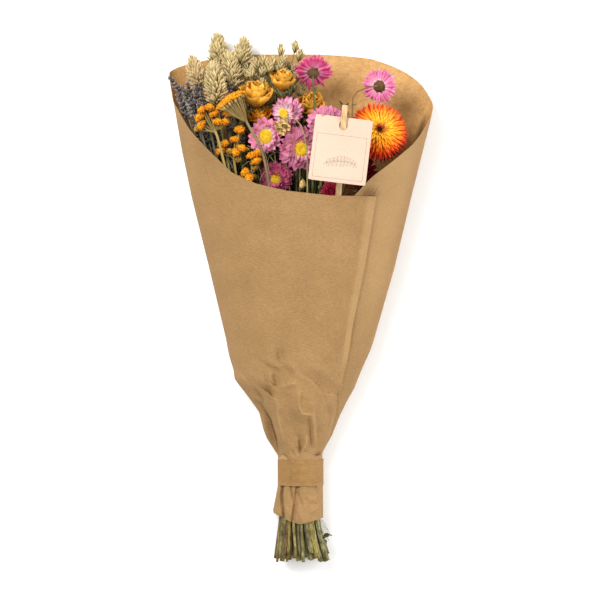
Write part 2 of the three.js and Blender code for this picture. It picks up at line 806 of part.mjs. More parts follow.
function buildDaisies() {
  daisies.forEach((daisy, place) => {
    const name = `daisy_${place + 1}`;
    const petals = petalDish(daisy.size, 10, daisy.size * petalRise);
    placed(`${name}_petals`, petals, daisy.middle, daisy.facing, finishes[daisy.color]);
    const cup = dishHeight + daisy.size * petalRise * 0.32 + calyxGap;
    const disc = daisy.middle.clone().addScaledVector(daisy.facing, cup);
    placed(`${name}_disc`, flowerDisc(daisy.size * 0.42), disc, daisy.facing, finishes.disc);
    stemWithCalyx(`${name}_stem`, daisyStems[place], 3.2);
  });
}

function buildStrawflowers() {
  strawflowers.forEach((straw, place) => {
    const name = `strawflower_${straw.name}`;
    const large = straw.name === 'flame';
    const outer = large ? bractRings(straw.size, 15, 3, 6, 0.74) : bractRings(straw.size, 8, 3, 3, 0.5);
    const colour = large ? finishes.flame : finishes.darkRed;
    placed(`${name}_bracts`, outer, straw.middle, straw.facing, colour);
    if (large) {
      const heart = straw.middle.clone().addScaledVector(straw.facing, 5.3);
      placed(`${name}_heart`, bractRings(15.5, 11, 3, 6, 0.4), heart, straw.facing, finishes.amber);
    }
    stemWithCalyx(`${name}_stem`, strawStems[place], large ? 5 : 3.4);
  });
}

function buildOatsAndPods() {
  oatStems.forEach((stem, place) => {
    const root = stem.foot.clone().addScaledVector(stem.facing, -4);
    const pieces = [growStem(stem, 5)];
    stem.ears.forEach(([x, y, z, lean]) => {
      const foot = point(x, y, z);
      const facing = toward(Math.sin(lean), 1, 0);
      const inside = foot.clone().addScaledVector(facing, 3);
      pieces.push(aimed(ear(13, 3.4), foot, facing));
      pieces.push(tube([root, root.clone().lerp(foot, 0.6), inside], 0.8, 3, 2));
    });
    node(`oat_spray_${place + 1}`, fused(pieces), finishes.oats);
  });
  const pods = [[-14.2, 147.2, 68.3], [-18, 143.6, 67.7], [-11.6, 142.7, 69.1], [-15.4, 139.2, 68.6]];
  const pieces = pods.map((spot, place) => {
    const pod = button(3.5).scale(1, 1, 0.7).rotateZ(place * 0.8 + 0.3);
    return pod.translate(...spot);
  });
  node('pod_spray', fused([growStem(podStem, 9), ...pieces]), finishes.pod);
}

buildWrap();
buildBand();
buildCard();
buildStick();
buildCanaryGrass();
buildLavender();
buildSprays();
buildRoses();
buildDaisies();
buildStrawflowers();
buildOatsAndPods();

export default bouquet;
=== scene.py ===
"""Dried flower bouquet in a kraft paper wrap: the finished look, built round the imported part."""

import math
import random

import bmesh
import bpy
import numpy as np
from mathutils import Matrix, Vector, noise


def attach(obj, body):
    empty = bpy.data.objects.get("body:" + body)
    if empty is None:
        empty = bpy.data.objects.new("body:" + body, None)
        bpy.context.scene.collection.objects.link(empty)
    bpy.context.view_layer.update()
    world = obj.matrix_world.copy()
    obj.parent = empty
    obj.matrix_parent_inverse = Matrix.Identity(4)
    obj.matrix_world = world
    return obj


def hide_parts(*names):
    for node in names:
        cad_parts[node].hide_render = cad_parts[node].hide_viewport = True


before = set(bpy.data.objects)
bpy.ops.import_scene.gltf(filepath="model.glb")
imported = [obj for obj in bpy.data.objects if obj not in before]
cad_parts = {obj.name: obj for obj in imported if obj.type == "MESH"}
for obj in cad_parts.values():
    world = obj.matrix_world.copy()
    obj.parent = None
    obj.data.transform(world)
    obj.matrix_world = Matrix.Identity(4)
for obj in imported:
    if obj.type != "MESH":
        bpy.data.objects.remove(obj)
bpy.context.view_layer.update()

MM = 0.001
UP = Vector((0, 0, 1))


def unit(facing):
    return Vector(facing).normalized()


def linked(name, data):
    """A new object in the scene."""
    item = bpy.data.objects.new(name, data)
    bpy.context.scene.collection.objects.link(item)
    return item


def smooth(low, high, value):
    """From 0 at low to 1 at high, with soft ends. Low may be the larger of the two."""
    share = min(1.0, max(0.0, (value - low) / (high - low)))
    return share * share * (3 - 2 * share)


def along(table, place):
    """Straight lines between the stations of a table of (place, value) pairs."""
    if place <= table[0][0]:
        return table[0][1]
    for (from_place, from_value), (to_place, to_value) in zip(table, table[1:]):
        if place <= to_place:
            share = (place - from_place) / (to_place - from_place)
            return from_value + (to_value - from_value) * share
    return table[-1][1]


def eased(table, place, reach=9):
    """The same table with its corners rounded over a stretch of the length."""
    steps = (-1.0, -0.5, 0.0, 0.5, 1.0)
    return sum(along(table, place + step * reach) for step in steps) / len(steps)


# Materials


class Finish:
    """A material's nodes: each method adds one node and returns its output."""

    def __init__(self, name, roughness):
        self.material = bpy.data.materials.new(name)
        self.material.use_nodes = True
        self.nodes = self.material.node_tree.nodes
        self.links = self.material.node_tree.links
        self.shader = self.nodes["Principled BSDF"]
        self.shader.inputs["Roughness"].default_value = roughness
        self.shader.inputs["Specular IOR Level"].default_value = 0.25
        self.place = self.nodes.new("ShaderNodeTexCoord").outputs["Object"]

    def add(self, kind, values=None, **settings):
        node = self.nodes.new(kind)
        for key, value in settings.items():
            setattr(node, key, value)
        for key, value in (values or {}).items():
            if isinstance(value, bpy.types.NodeSocket):
                self.links.new(value, node.inputs[key])
            else:
                node.inputs[key].default_value = value
        return node

    def moved(self, scale=(1, 1, 1), turn=(0, 0, 0)):
        values = {"Vector": self.place, "Scale": scale, "Rotation": turn}
        return self.add("ShaderNodeMapping", values).outputs["Vector"]

    def noise(self, scale, detail=4.0, roughness=0.55, vector=None):
        values = {"Vector": vector or self.place, "Scale": scale}
        values.update({"Detail": detail, "Roughness": roughness})
        return self.add("ShaderNodeTexNoise", values).outputs["Fac"]

    def cells(self, scale):
        values = {"Vector": self.place, "Scale": scale}
        return self.add("ShaderNodeTexVoronoi", values).outputs["Distance"]

    def waves(self, scale, distortion, vector):
        values = {"Vector": vector, "Scale": scale, "Distortion": distortion, "Detail": 1.0}
        return self.add("ShaderNodeTexWave", values, bands_direction="Y").outputs["Fac"]

    def attribute(self, name):
        return self.add("ShaderNodeAttribute", attribute_name=name).outputs["Fac"]

    def ramp(self, factor, stops):
        node = self.add("ShaderNodeValToRGB", {"Fac": factor})
        elements = node.color_ramp.elements
        while len(elements) < len(stops):
            elements.new(0.5)
        for element, (place, color) in zip(elements, stops):
            element.position = place
            element.color = linear(color)
        return node.outputs["Color"]

    def mix(self, factor, first, second, blend="MIX"):
        node = self.add("ShaderNodeMix", data_type="RGBA", blend_type=blend)
        for socket, value in zip((0, 6, 7), (factor, first, second)):
            if isinstance(value, bpy.types.NodeSocket):
                self.links.new(value, node.inputs[socket])
            else:
                node.inputs[socket].default_value = value
        return node.outputs[2]

    def stretch(self, value, low, high, to_low=0.0, to_high=1.0):
        values = {0: value, 1: low, 2: high, 3: to_low, 4: to_high}
        return self.add("ShaderNodeMapRange", values).outputs["Result"]

    def tint(self, share, color, stain):
        """The colour darkened by a share of another."""
        return self.mix(share, color, stain, "MULTIPLY")

    def spread(self, value):
        """A noise, from -1 to 1."""
        return self.stretch(value, 0.3, 0.7, -1, 1)

    def times(self, value, factor):
        return self.add("ShaderNodeMath", {0: value, 1: factor}, operation="MULTIPLY").outputs[0]

    def grey(self, tone):
        parts = {"Red": tone, "Green": tone, "Blue": tone}
        return self.add("ShaderNodeCombineColor", parts).outputs["Color"]

    def packed(self, x, y, z):
        return self.add("ShaderNodeCombineXYZ", {"X": x, "Y": y, "Z": z}).outputs["Vector"]

    def sum(self, first, second, share=1.0):
        values = {0: second, 1: share, 2: first}
        return self.add("ShaderNodeMath", values, operation="MULTIPLY_ADD").outputs[0]

    def color(self, output):
        self.links.new(output, self.shader.inputs["Base Color"])

    def bump(self, height, distance, strength=1.0):
        values = {"Height": height, "Distance": distance, "Strength": strength}
        node = self.add("ShaderNodeBump", values)
        self.links.new(node.outputs["Normal"], self.shader.inputs["Normal"])


def linear(color):
    """A colour as written on a colour card, #rrggbb, turned to the renderer's light values."""
    parts = [int(color[place : place + 2], 16) / 255 for place in (1, 3, 5)]
    values = [p / 12.92 if p <= 0.04045 else ((p + 0.055) / 1.055) ** 2.4 for p in parts]
    return (*values, 1.0)


def kraft_finish(name, tone, mottle, ribs):
    """Kraft paper: fine slanted ribs from the paper machine, cloudy fibres, dark flecks, and painted light
    and shade.
    """
    paper = Finish(name, 0.82)
    clouds = paper.noise(28, 5, 0.6)
    fibres = paper.noise(900, 3, 0.7, paper.moved((0.45, 1, 1)))
    base = paper.ramp(clouds, [(0.2, mottle[0]), (0.5, tone), (0.85, mottle[1])])
    grain = paper.ramp(fibres, [(0.3, "#c9c9c9"), (0.62, "#ffffff")])
    lines = paper.waves(190, 1.2, paper.moved((1, 1, 1), (0, 0, 0.24)))
    ribbed = paper.ramp(lines, [(0.0, "#dcdcdc"), (0.55, "#ffffff")])
    flecks = paper.ramp(paper.cells(420), [(0.02, "#a58a66"), (0.09, "#ffffff")])
    color = paper.tint(0.5, base, grain)
    color = paper.tint(ribs, color, ribbed)
    blotches = paper.ramp(paper.noise(230, 4, 0.7), [(0.36, "#bfae98"), (0.6, "#ffffff")])
    color = paper.tint(0.5 - ribs, color, blotches)
    color = paper.tint(0.4, color, flecks)
    # Painted light from the points: values below 0 lighten ridges, the right panel, the free edge and the
    # tab.
    # Painted shade from the points: values above 0 darken creases and hollows towards dark brown.
    painted_light_and_shade = paper.attribute("painted_light_and_shade")
    color = paper.mix(paper.stretch(painted_light_and_shade, 0.3, 4.0, 0, 0.8), color, linear("#4d3018"))
    paper.color(paper.mix(paper.stretch(painted_light_and_shade, -0.3, -2.2, 0, 0.4), color, linear("#c7a473")))
    height = paper.sum(paper.sum(paper.noise(120, 4), lines, 0.35 * ribs), fibres, 0.3)
    paper.bump(height, 0.0006, 0.5)
    return paper.material


def card_finish():
    card = Finish("cream_card", 0.75)
    tooth = card.noise(700, 4)
    base = card.ramp(card.noise(20, 3), [(0.3, "#c3aa95"), (0.7, "#c8b09c")])
    card.color(card.tint(0.25, base, card.ramp(tooth, [(0.35, "#e8e0d4"), (0.6, "#ffffff")])))
    card.bump(tooth, 0.00015, 0.4)
    return card.material


def ink_finish():
    ink = Finish("grey_ink", 0.7)
    ink.color(ink.ramp(ink.noise(900, 3), [(0.35, "#6f6a62"), (0.65, "#8d867b")]))
    return ink.material


def wood_finish():
    wood = Finish("pale_wood", 0.7)
    grain = wood.noise(60, 6, 0.6, wood.moved((9, 0.35, 9)))
    wood.color(wood.ramp(grain, [(0.3, "#a98555"), (0.5, "#c2a176"), (0.7, "#cdb18a")]))
    wood.bump(grain, 0.0002, 0.5)
    return wood.material


def floor_finish():
    floor = Finish("pale_floor", 0.9)
    floor.color(floor.ramp(floor.noise(3, 2), [(0.3, "#f7f7f6"), (0.7, "#fbfbfa")]))
    return floor.material


# Meshes


def filled(name, made):
    """A new mesh with a bmesh's shape."""
    mesh = bpy.data.meshes.new(name)
    made.to_mesh(mesh)
    made.free()
    return mesh


def add_piece(name, mesh, materials, nodes):
    """Puts in a smooth piece that rides on the bouquet and stands for its nodes."""
    mesh.polygons.foreach_set("use_smooth", np.full(len(mesh.polygons), True))
    mesh.update()
    for material in materials:
        mesh.materials.append(material)
    piece = linked(name, mesh)
    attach(piece, "root")
    if nodes:
        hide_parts(*nodes)


def add_sheet(name, made, thickness, materials, node):
    """Gives an open sheet its thickness and puts it in: its outside and its inside may differ."""
    painted_light_and_shade = made.verts.layers.float["painted_light_and_shade"]
    outer, outside_verts = set(made.faces), set(made.verts)
    bmesh.ops.solidify(made, geom=made.faces[:], thickness=thickness * MM)
    # Painted shade on the inside only, where the right flank shades itself
    for vert in made.verts:
        if vert not in outside_verts:
            vert[painted_light_and_shade] -= fold_effect(vert.co.x / MM, vert.co.y / MM, INNER_FOLD_SHADE)[0]
    for face in made.faces:
        face.material_index = 0 if face in outer else len(materials) - 1
    mesh = filled(name, made)
    add_piece(name, mesh, materials, [node])
    mesh.set_sharp_from_angle(angle=math.radians(24))


# Paper wrap

# The sheet's thickness, and its grid round the cone and along it
PAPER = 0.35
PAPER_ROUND, PAPER_LONG = 172, 215
NECK_MIDDLE = Vector((0.4, -141.5, 14.8))
NECK_TOP = -130
NECK_BOTTOM = -153.5
BAND_TOP = -133.6
BAND_BOTTOM = -155.2
GATHERS = 9
# Where the free edge lies at the mouth and at the skirt, in degrees round the cone, and how far the
# sheet runs on under it
MOUTH_EDGE, MOUTH_LAP = 47.5, 32
SKIRT_END, SKIRT_LAP = 16, 42
# The cone at its stations along the bouquet: its outline, its level in front and behind, the depth of
# its gathers, its free edge, the lap under it and the gap in that lap
LEFT_SIDE = [
    (-187, -20), (-177.6, -23.4), (-165, -20.8), (-154, -18.6), (-130.3, -18.6), (-127, -21.2),
    (-116.1, -28.6), (-108.5, -31.5), (-94.2, -34.9), (-89.4, -38.2), (-76.1, -47.6), (-68.9, -53.4),
    (-65.6, -55.3), (-58.9, -55.8), (-45.6, -59.6), (-33.2, -61.8), (27, -76), (86, -90.5), (126, -98.8),
    (160, -104.6), (205, -114),
]
RIGHT_SIDE = [
    (-187, 20.4), (-154, 20.2), (-150, 19.6), (-129, 19.6), (-126.5, 20.6), (-113.2, 28.1), (-96.1, 34.6),
    (-83.7, 40.2), (-74.2, 45.5), (-61.8, 50.2), (-41.8, 59), (-33, 62), (27, 79), (86, 93), (126, 103),
    (146, 108), (160, 111), (205, 119),
]
FRONT_LEVEL = [
    (-187, 36), (-170, 34), (-154, 30.6), (-129, 30.6), (-113, 36), (-83, 46), (-53, 50), (0, 57),
    (86, 72), (160, 86), (205, 94),
]
UNDERSIDE = [(-187, 0.4), (-170, 0.8), (-154, 1.5), (-129, 1.5), (-85, 0)]
GATHER_DEPTH = [(-187, 3.0), (-170, 2.2), (-154, 0.5), (-129, 0.5), (-114, 3.6), (-95, 2.6), (-50, 0)]
FREE_EDGE = [(-187, 20), (-130, 16), (-100, 22), (-78, 39), (-30, 48), (86, 47.5)]
LAP_UNDER = [(-187, 42), (-100, 42), (-30, 34), (100, 32)]
LAP_GAP = [(-130, 1.35), (86, 2.6)]
# The mouth: degrees round the cone, and the station at which the sheet ends there
TOP_EDGE = [
    (-312.5, 85.5), (-285, 86), (-262, 90), (-246, 96), (-233, 105), (-225, 116), (-216, 128),
    (-205.3, 141), (-193, 158), (-182, 166), (-172, 186), (-167, 190.5), (-147, 195.5), (-123, 201),
    (-98, 206.5), (-90, 206.8), (-76, 203), (-55, 191.5), (-43, 184), (-24, 171), (0, 160),
    (5.6, 153), (23, 129.5), (31, 122), (43.7, 109.5), (51, 102), (56, 94), (61, 85), (70, 79), (82, 76),
]
# The skirt: places across, and the station at which the sheet ends there
SKIRT_EDGE = [(-23.4, -176.6), (-19, -179.5), (-8, -185), (0, -187), (20, -182.6)]
SKIRT_MEASURE = -180
# Folds below this place keep their full depth to their ends
SKIRT_FOLDS = -140
FOLD_STRENGTH = 1.8
# Half the width of the painted line along a fold: painted shade in a fold, painted light on a ridge
CREASE_REACH = 1.3
# Share of a section's height at which it is widest
WAIST = 0.36


def section(box, degrees, fold):
    """A spot across a section that is domed above its waist and flat below."""
    left, right, low, high = box
    waist = low + (high - low) * WAIST
    half = (right - left) / 2 - fold
    across = math.cos(math.radians(degrees))
    rise = math.sin(math.radians(degrees))
    middle = (left + right) / 2
    if rise >= 0:
        return middle + half * across, waist + (high - waist - fold) * rise
    x = middle + half * math.copysign(math.sqrt(abs(across)), across)
    floor = low + (fold * 0.5 if low > 0 else 0)
    return x, max(floor, waist - (waist - low) / 0.9 * math.sqrt(-rise))


def wrap_box(station):
    return (
        eased(LEFT_SIDE, station, 1.6),
        eased(RIGHT_SIDE, station, 1.6),
        along(UNDERSIDE, station),
        eased(FRONT_LEVEL, station),
    )


# Folds pushed into the front of the paper, with painted shade along each line, and painted light along a
# ridge's.
# Each has its line, how deep it goes (below 0 it is a ridge) and how wide it is to its left and to its
# right, seen along the line, in millimetres.
FOLDS = [
    ([(-32, -73.7), (-27, -75.5), (-21.6, -80.8)], 2.6, 5.0, 1.2),
    ([(-39, -72.2), (-31.5, -81.8), (-31, -91.3)], 1.8, 1.4, 7.0),
    ([(-34, -86), (-31, -89), (-24.9, -99.6), (-19.9, -116.2), (-17.7, -130.5)], 4.2, 1.6, 6.5),
    (
        [(-19.6, -73), (-21, -78.9), (-18.6, -94.2), (-17.2, -101.8), (-13.4, -118.7), (-11.6, -127)],
        -1.6, 8.0, 2.0,
    ),
    ([(-19.6, -73), (-5, -68.6), (0, -69.4)], -1.3, 3.0, 9.0),
    ([(0, -69.4), (-1, -86.3), (1.7, -94.2), (10, -96), (10.5, -103.8)], -1.5, 1.8, 9.0),
    ([(11.2, -87), (12.4, -104), (13.3, -124.5)], -1.7, 2.0, 4.0),
    ([(7.5, -96), (8.5, -112), (9.5, -124)], 1.3, 2.0, 3.0),
    ([(-3.8, -58.1), (11.4, -66.4), (20.8, -76.1), (32.4, -79.7)], 1.6, 9.0, 2.0),
    ([(-12, -50), (-3.8, -58.1), (-2, -66)], -1.1, 4.0, 4.0),
    ([(-20, -40), (-19, -43.7), (-17.2, -54.2)], 1.4, 8.0, 1.6),
    ([(-32.4, -50.4), (-26, -55), (-19, -58), (-15, -63)], 1.1, 2.0, 7.0),
    ([(-30, -58), (-28, -68), (-27, -74)], 1.3, 3.0, 5.0),
    ([(-24, -57), (-21, -66), (-21.5, -77)], 1.6, 6.0, 1.4),
    ([(-52, -56), (-44, -66), (-36, -72)], 0.9, 6.0, 2.5),
    ([(-1.5, -112), (0, -121), (0.4, -131)], 1.9, 5.5, 2.2),
    ([(6.7, -114), (4.7, -120), (0.8, -130)], -1.8, 3.5, 2.0),
    ([(-7, -124), (-5, -131)], 0.9, 2.0, 2.6),
    ([(11, -131), (18, -127.5)], 2.6, 2.4, 1.4),
    ([(22, -84), (25, -98), (22, -116)], 1.2, 5.0, 3.0),
    ([(32.4, -70), (30.5, -94.2), (26.4, -115)], 1.2, 1.6, 4.0),
    ([(40, -20), (30, -52), (33, -66)], 0.8, 7.0, 4.0),
    ([(-8, 20), (2, -14), (14, -44)], 0.6, 10.0, 10.0),
    ([(-54, 30), (-44, -10), (-40, -40)], 0.7, 9.0, 9.0),
    ([(24, 70), (34, 20), (30, -20)], -0.6, 8.0, 8.0),
    ([(-13.8, -153), (-14.8, -163.5), (-12.7, -187)], 2.5, 1.4, 2.4),
    ([(-2.7, -154), (-3.7, -161.9), (-7.2, -188)], 1.5, 3.4, 1.2),
    ([(-8.3, -153), (-5.8, -168)], 1.0, 1.4, 1.4),
    ([(-1.7, -161), (1.7, -170)], 0.8, 1.2, 2.4),
    ([(4.2, -166.5), (9, -170), (14.1, -170.4), (18.3, -166)], 0.6, 3.0, 1.2),
    ([(12.5, -155), (15.5, -165)], 0.6, 1.6, 2.6),
    ([(10, -176), (15, -173)], -0.9, 3.0, 3.0),
]

# Shares of the turn round the cone: the painted light on the right panel fades out between the first two,
# and the painted highlight along the free edge begins between the others
RIGHT_PANEL = (0.13, 0.2)
FREE_RIM = (0.978, 0.99)
# A hollow beside the card where the paper lies in shade: middle, half width, half height, how dark
OUTER_HOLLOW = ((57.5, 87.5), 8.5, 7, 3.6)
# Painted shade on the inside of the right flank, written like the folds; it darkens the paper and does not
# move it
INNER_FOLD_SHADE = ([(106.4, 156), (96.5, 130)], 4.4, 4.6, 3.8)


def hollow_shade(x, y, hollow):
    (middle_x, middle_y), half_width, half_height, depth = hollow
    away = math.hypot((x - middle_x) / half_width, (y - middle_y) / half_height)
    return depth * (1 - smooth(0.5, 1.0, away))


def fold_effect(x, y, fold):
    """How far one fold moves a spot of the paper, and the painted shade, or light for a ridge, along its
    line there.
    """
    line, depth, left, right = fold
    best, side, travelled, total = 1e9, 1, 0.0, 0.0
    for (x0, y0), (x1, y1) in zip(line, line[1:]):
        dx, dy = x1 - x0, y1 - y0
        length = math.hypot(dx, dy)
        share = min(1.0, max(0.0, ((x - x0) * dx + (y - y0) * dy) / (length * length)))
        away = math.hypot(x - x0 - share * dx, y - y0 - share * dy)
        if away < best:
            best = away
            side = 1 if dx * (y - y0) - dy * (x - x0) > 0 else -1
            travelled = total + share * length
        total += length
    reach = left if side > 0 else right
    if best >= reach:
        return 0.0, 0.0
    ends = 1.0
    if y > SKIRT_FOLDS:
        ends = min(1.0, 0.25 + 2.4 * min(travelled, total - travelled) / total)
    return -depth * (1 - best / reach) * ends, depth * max(0.0, 1 - best / CREASE_REACH) * ends


def sheet_angle(free, start, turn):
    """The sheet runs from its covered edge backwards round the cone to its free edge."""
    return start + (free - 360 - start) * turn


def bumpy(x, y, seed):
    return noise.noise(Vector((x, y, seed)))


def swelled(x, station):
    """The soft swells of the whole front."""
    return 0.9 * bumpy(x * 0.03, station * 0.018, 7) + 0.35 * bumpy(x * 0.09, station * 0.055, 7)


def crumpled(x, station):
    """How deep the front is crumpled, which is more towards the neck."""
    low_part = smooth(25, 75, -station)
    depth = abs(bumpy(x * 0.05, station * 0.05, 2)) * low_part * 2.6
    depth += abs(bumpy(x * 0.11, station * 0.09, 5)) * low_part * 1.4
    return depth + abs(bumpy(x * 0.26, station * 0.2, 8)) * smooth(90, 125, -station) * 0.6


def wrap_spot(turn, station, top):
    """A spot on the outside of the sheet with its gathers, folds and crumples, and the painted shading of
    its folds.
    """
    free = eased(FREE_EDGE, station)
    start = free + eased(LAP_UNDER, station)
    degrees = sheet_angle(free, start, turn)
    gap = along(LAP_GAP, station) * smooth(free - 45, free - 8, degrees)
    angle = math.radians(degrees)
    upper = math.sin(angle) >= 0
    gather = eased(GATHER_DEPTH, station) * (0.5 - 0.5 * math.cos(GATHERS * angle))
    fold = gap + gather * (0.5 if upper else 0.35)
    x, z = section(wrap_box(station), degrees, fold)
    crease_shading = 0.0
    if upper:
        lift = math.sin(angle)
        pull = min(1.0, lift * 2.2)
        effects = [fold_effect(x, station, line) for line in FOLDS]
        folded = FOLD_STRENGTH * sum(height for height, line in effects)
        crease_shading = sum(line for height, line in effects)
        near_band = smooth(NECK_TOP + 7, NECK_TOP, station)
        near_band *= smooth(NECK_BOTTOM - 3, NECK_BOTTOM, station)
        at_band = smooth(NECK_TOP + 1.5, NECK_TOP - 1, station)
        at_band *= smooth(NECK_BOTTOM - 1, NECK_BOTTOM + 1, station)
        uneven = (swelled(x, station) - crumpled(x, station)) * lift
        z += pull * (uneven + max(0.0, folded)) * (1 - near_band)
        z += pull * min(0.0, folded) * (1 - at_band)
        near_mouth = smooth(30, 0, abs(top - station))
        z += lift * near_mouth * 0.7 * bumpy(x * 0.05, 1, 4)
    return Vector((x, station, max(z, 0.02))), crease_shading


def light_shift(turn, spot):
    """Painted light and shade between the creases: painted light on the right panel with a painted shadow in
    its hollow beside the card, and a painted highlight along the free edge.
    """
    shift = 0.0
    if turn < RIGHT_PANEL[1]:
        shift += hollow_shade(spot.x, spot.y, OUTER_HOLLOW)
        shift -= 1.1 * (1 - smooth(*RIGHT_PANEL, turn)) * smooth(-60, 20, spot.y)
    return shift - 1.25 * smooth(*FREE_RIM, turn) * smooth(-80, -40, spot.y)


def build_wrap(materials):
    """One rolled sheet, lapped on the front, gathered at the neck and flared at the skirt."""
    made = bmesh.new()
    painted_light_and_shade = made.verts.layers.float.new("painted_light_and_shade")
    bmesh.ops.create_grid(made, x_segments=PAPER_ROUND, y_segments=PAPER_LONG, size=0.5)
    for vert in made.verts:
        turn = vert.co.x + 0.5
        length = vert.co.y + 0.5
        top = along(TOP_EDGE, sheet_angle(MOUTH_EDGE, MOUTH_EDGE + MOUTH_LAP, turn))
        skirt_angle = sheet_angle(SKIRT_END, SKIRT_END + SKIRT_LAP, turn)
        skirt = along(SKIRT_EDGE, section(wrap_box(SKIRT_MEASURE), skirt_angle, 0)[0])
        station = skirt + (top - skirt) * (0.55 * length + 0.45 * length ** 2.2)
        spot, crease_shading = wrap_spot(turn, station, top)
        vert.co = spot * MM
        # Painted shading of the fold lines, plus painted light and shade between them
        vert[painted_light_and_shade] = crease_shading + light_shift(turn, spot)
    bmesh.ops.recalc_face_normals(made, faces=made.faces)
    middle = [face for face in made.faces if abs(face.calc_center_median().y) < 0.02]
    low = min(middle, key=lambda face: face.calc_center_median().z)
    if low.normal.z > 0:
        bmesh.ops.reverse_faces(made, faces=made.faces)
    add_sheet("kraft_wrap", made, PAPER, materials, "paper_wrap")


# Folds of the tape, written like those of the paper
TAPE_FOLDS = [
    ([(-3.3, -134.5), (2.5, -133.6), (6.6, -136.1)], 0.5, 1.0, 2.0),
    ([(5, -132.4), (10.8, -133.6), (16.6, -135.1)], 0.7, 1.2, 2.0),
    ([(-0.8, -137.8), (5, -138.6), (8, -138)], 0.4, 1.2, 1.6),
    ([(10.8, -138.4), (16.8, -137)], 0.4, 1.2, 2.0),
    ([(9, -149.5), (14, -151.5), (19, -150.5)], -0.5, 1.5, 1.5),
    ([(-14.5, -132), (-15.5, -153)], -0.3, 2.0, 2.0),
]
TAPE = 0.2
TAPE_ROUND, TAPE_LONG = 170, 20
TAPE_START = 166
TAPE_TURN = 412
TAPE_SECOND_TURN = (0.84, 0.88)
TAB_SHAPE = [(0, 0.6), (0.071, 4.6), (0.109, 0), (1, 0)]


def build_band(materials):
    """The tape round the neck: a bit more than one turn, wrinkled, its start a corner that points up."""
    made = bmesh.new()
    painted_light_and_shade = made.verts.layers.float.new("painted_light_and_shade")
    bmesh.ops.create_grid(made, x_segments=TAPE_ROUND, y_segments=TAPE_LONG, size=0.5)
    for vert in made.verts:
        turn = vert.co.x + 0.5
        length = vert.co.y + 0.5
        degrees = TAPE_START - turn * TAPE_TURN
        top = BAND_TOP + along(TAB_SHAPE, turn)
        low_edge = BAND_BOTTOM + 0.6 * bumpy(degrees * 0.02, 0, 3)
        station = low_edge + (top - low_edge) * length
        second = smooth(*TAPE_SECOND_TURN, turn)
        grow = 0.42 + 0.3 * second + 0.5 * smooth(NECK_BOTTOM + 1, BAND_BOTTOM, station)
        left, right, low, high = wrap_box(max(station, NECK_MIDDLE.y))
        lift = max(0.0, station - BAND_TOP) * 0.2
        side = 0.1 + 0.25 * second
        x, z = section((left - side, right + side, low - grow, high + grow + lift), degrees, 0)
        upper = max(0.0, math.sin(math.radians(degrees)))
        effects = [fold_effect(x, station, line) for line in TAPE_FOLDS]
        slack = 0.5 * bumpy(x * 0.12, station * 0.25, 9)
        slack += 0.5 * abs(bumpy(x * 0.2, station * 0.5, 5)) * smooth(-6, 6, x)
        slack += sum(height for height, line in effects)
        z += upper * (0.3 + slack)
        vert.co = Vector((x, station, z)) * MM
        # Painted shade along the tape's folds, and painted light along its ridges, on its upper half
        vert[painted_light_and_shade] = 0.8 * sum(line for height, line in effects) * upper
        # Painted light on the tab that stands up from the band
        if station > BAND_TOP + 0.4:
            vert[painted_light_and_shade] -= 2.4
    bmesh.ops.recalc_face_normals(made, faces=made.faces)
    top_face = max(made.faces, key=lambda face: face.calc_center_median().z)
    if top_face.normal.z < 0:
        bmesh.ops.reverse_faces(made, faces=made.faces)
    add_sheet("paper_tape", made, TAPE, materials, "paper_band")


# Copies of small shapes


class Shape:
    """A small closed shape, and for each of its points its place across, along and through it."""

    def __init__(self, name, made):
        bmesh.ops.recalc_face_normals(made, faces=made.faces)
        self.mesh = filled(name, made)
        spots = np.empty(len(self.mesh.vertices) * 3)
        self.mesh.vertices.foreach_get("co", spots)
        self.place = spots.reshape(-1, 3)


def blade_shape(name, across_steps, along_steps):
    """A thin plate: across from -1 to 1, along from 0 to 1, and 0 below and 1 above."""
    made = bmesh.new()
    bmesh.ops.create_grid(made, x_segments=across_steps, y_segments=along_steps, size=0.5)
    bmesh.ops.solidify(made, geom=made.faces[:], thickness=1)
    top = max(vert.co.z for vert in made.verts)
    for vert in made.verts:
        vert.co = Vector((vert.co.x * 2, vert.co.y + 0.5, vert.co.z + 1 - top))
    return Shape(name, made)


def rod_shape(name, sides, along_steps):
    """A round rod with closed ends, 1 in radius and from 0 to 1 along +Z."""
    made = bmesh.new()
    bmesh.ops.create_cone(made, cap_ends=True, segments=sides, radius1=1, radius2=1, depth=1)
    upright = [edge for edge in made.edges if abs(edge.verts[0].co.z - edge.verts[1].co.z) > 0.5]
    bmesh.ops.subdivide_edges(made, edges=upright, cuts=along_steps - 1, use_grid_fill=True)
    for vert in made.verts:
        vert.co.z += 0.5
    return Shape(name, made)


def bead_shape(name, subdivisions):
    """A round bead, 1 in radius."""
    made = bmesh.new()
    bmesh.ops.create_icosphere(made, subdivisions=subdivisions, radius=1)
    return Shape(name, made)


def seed_shape(name, sides, rings):
    """A bead with its poles on Z, for seeds and buds."""
    made = bmesh.new()
    bmesh.ops.create_uvsphere(made, u_segments=sides, v_segments=rings, radius=1)
    return Shape(name, made)


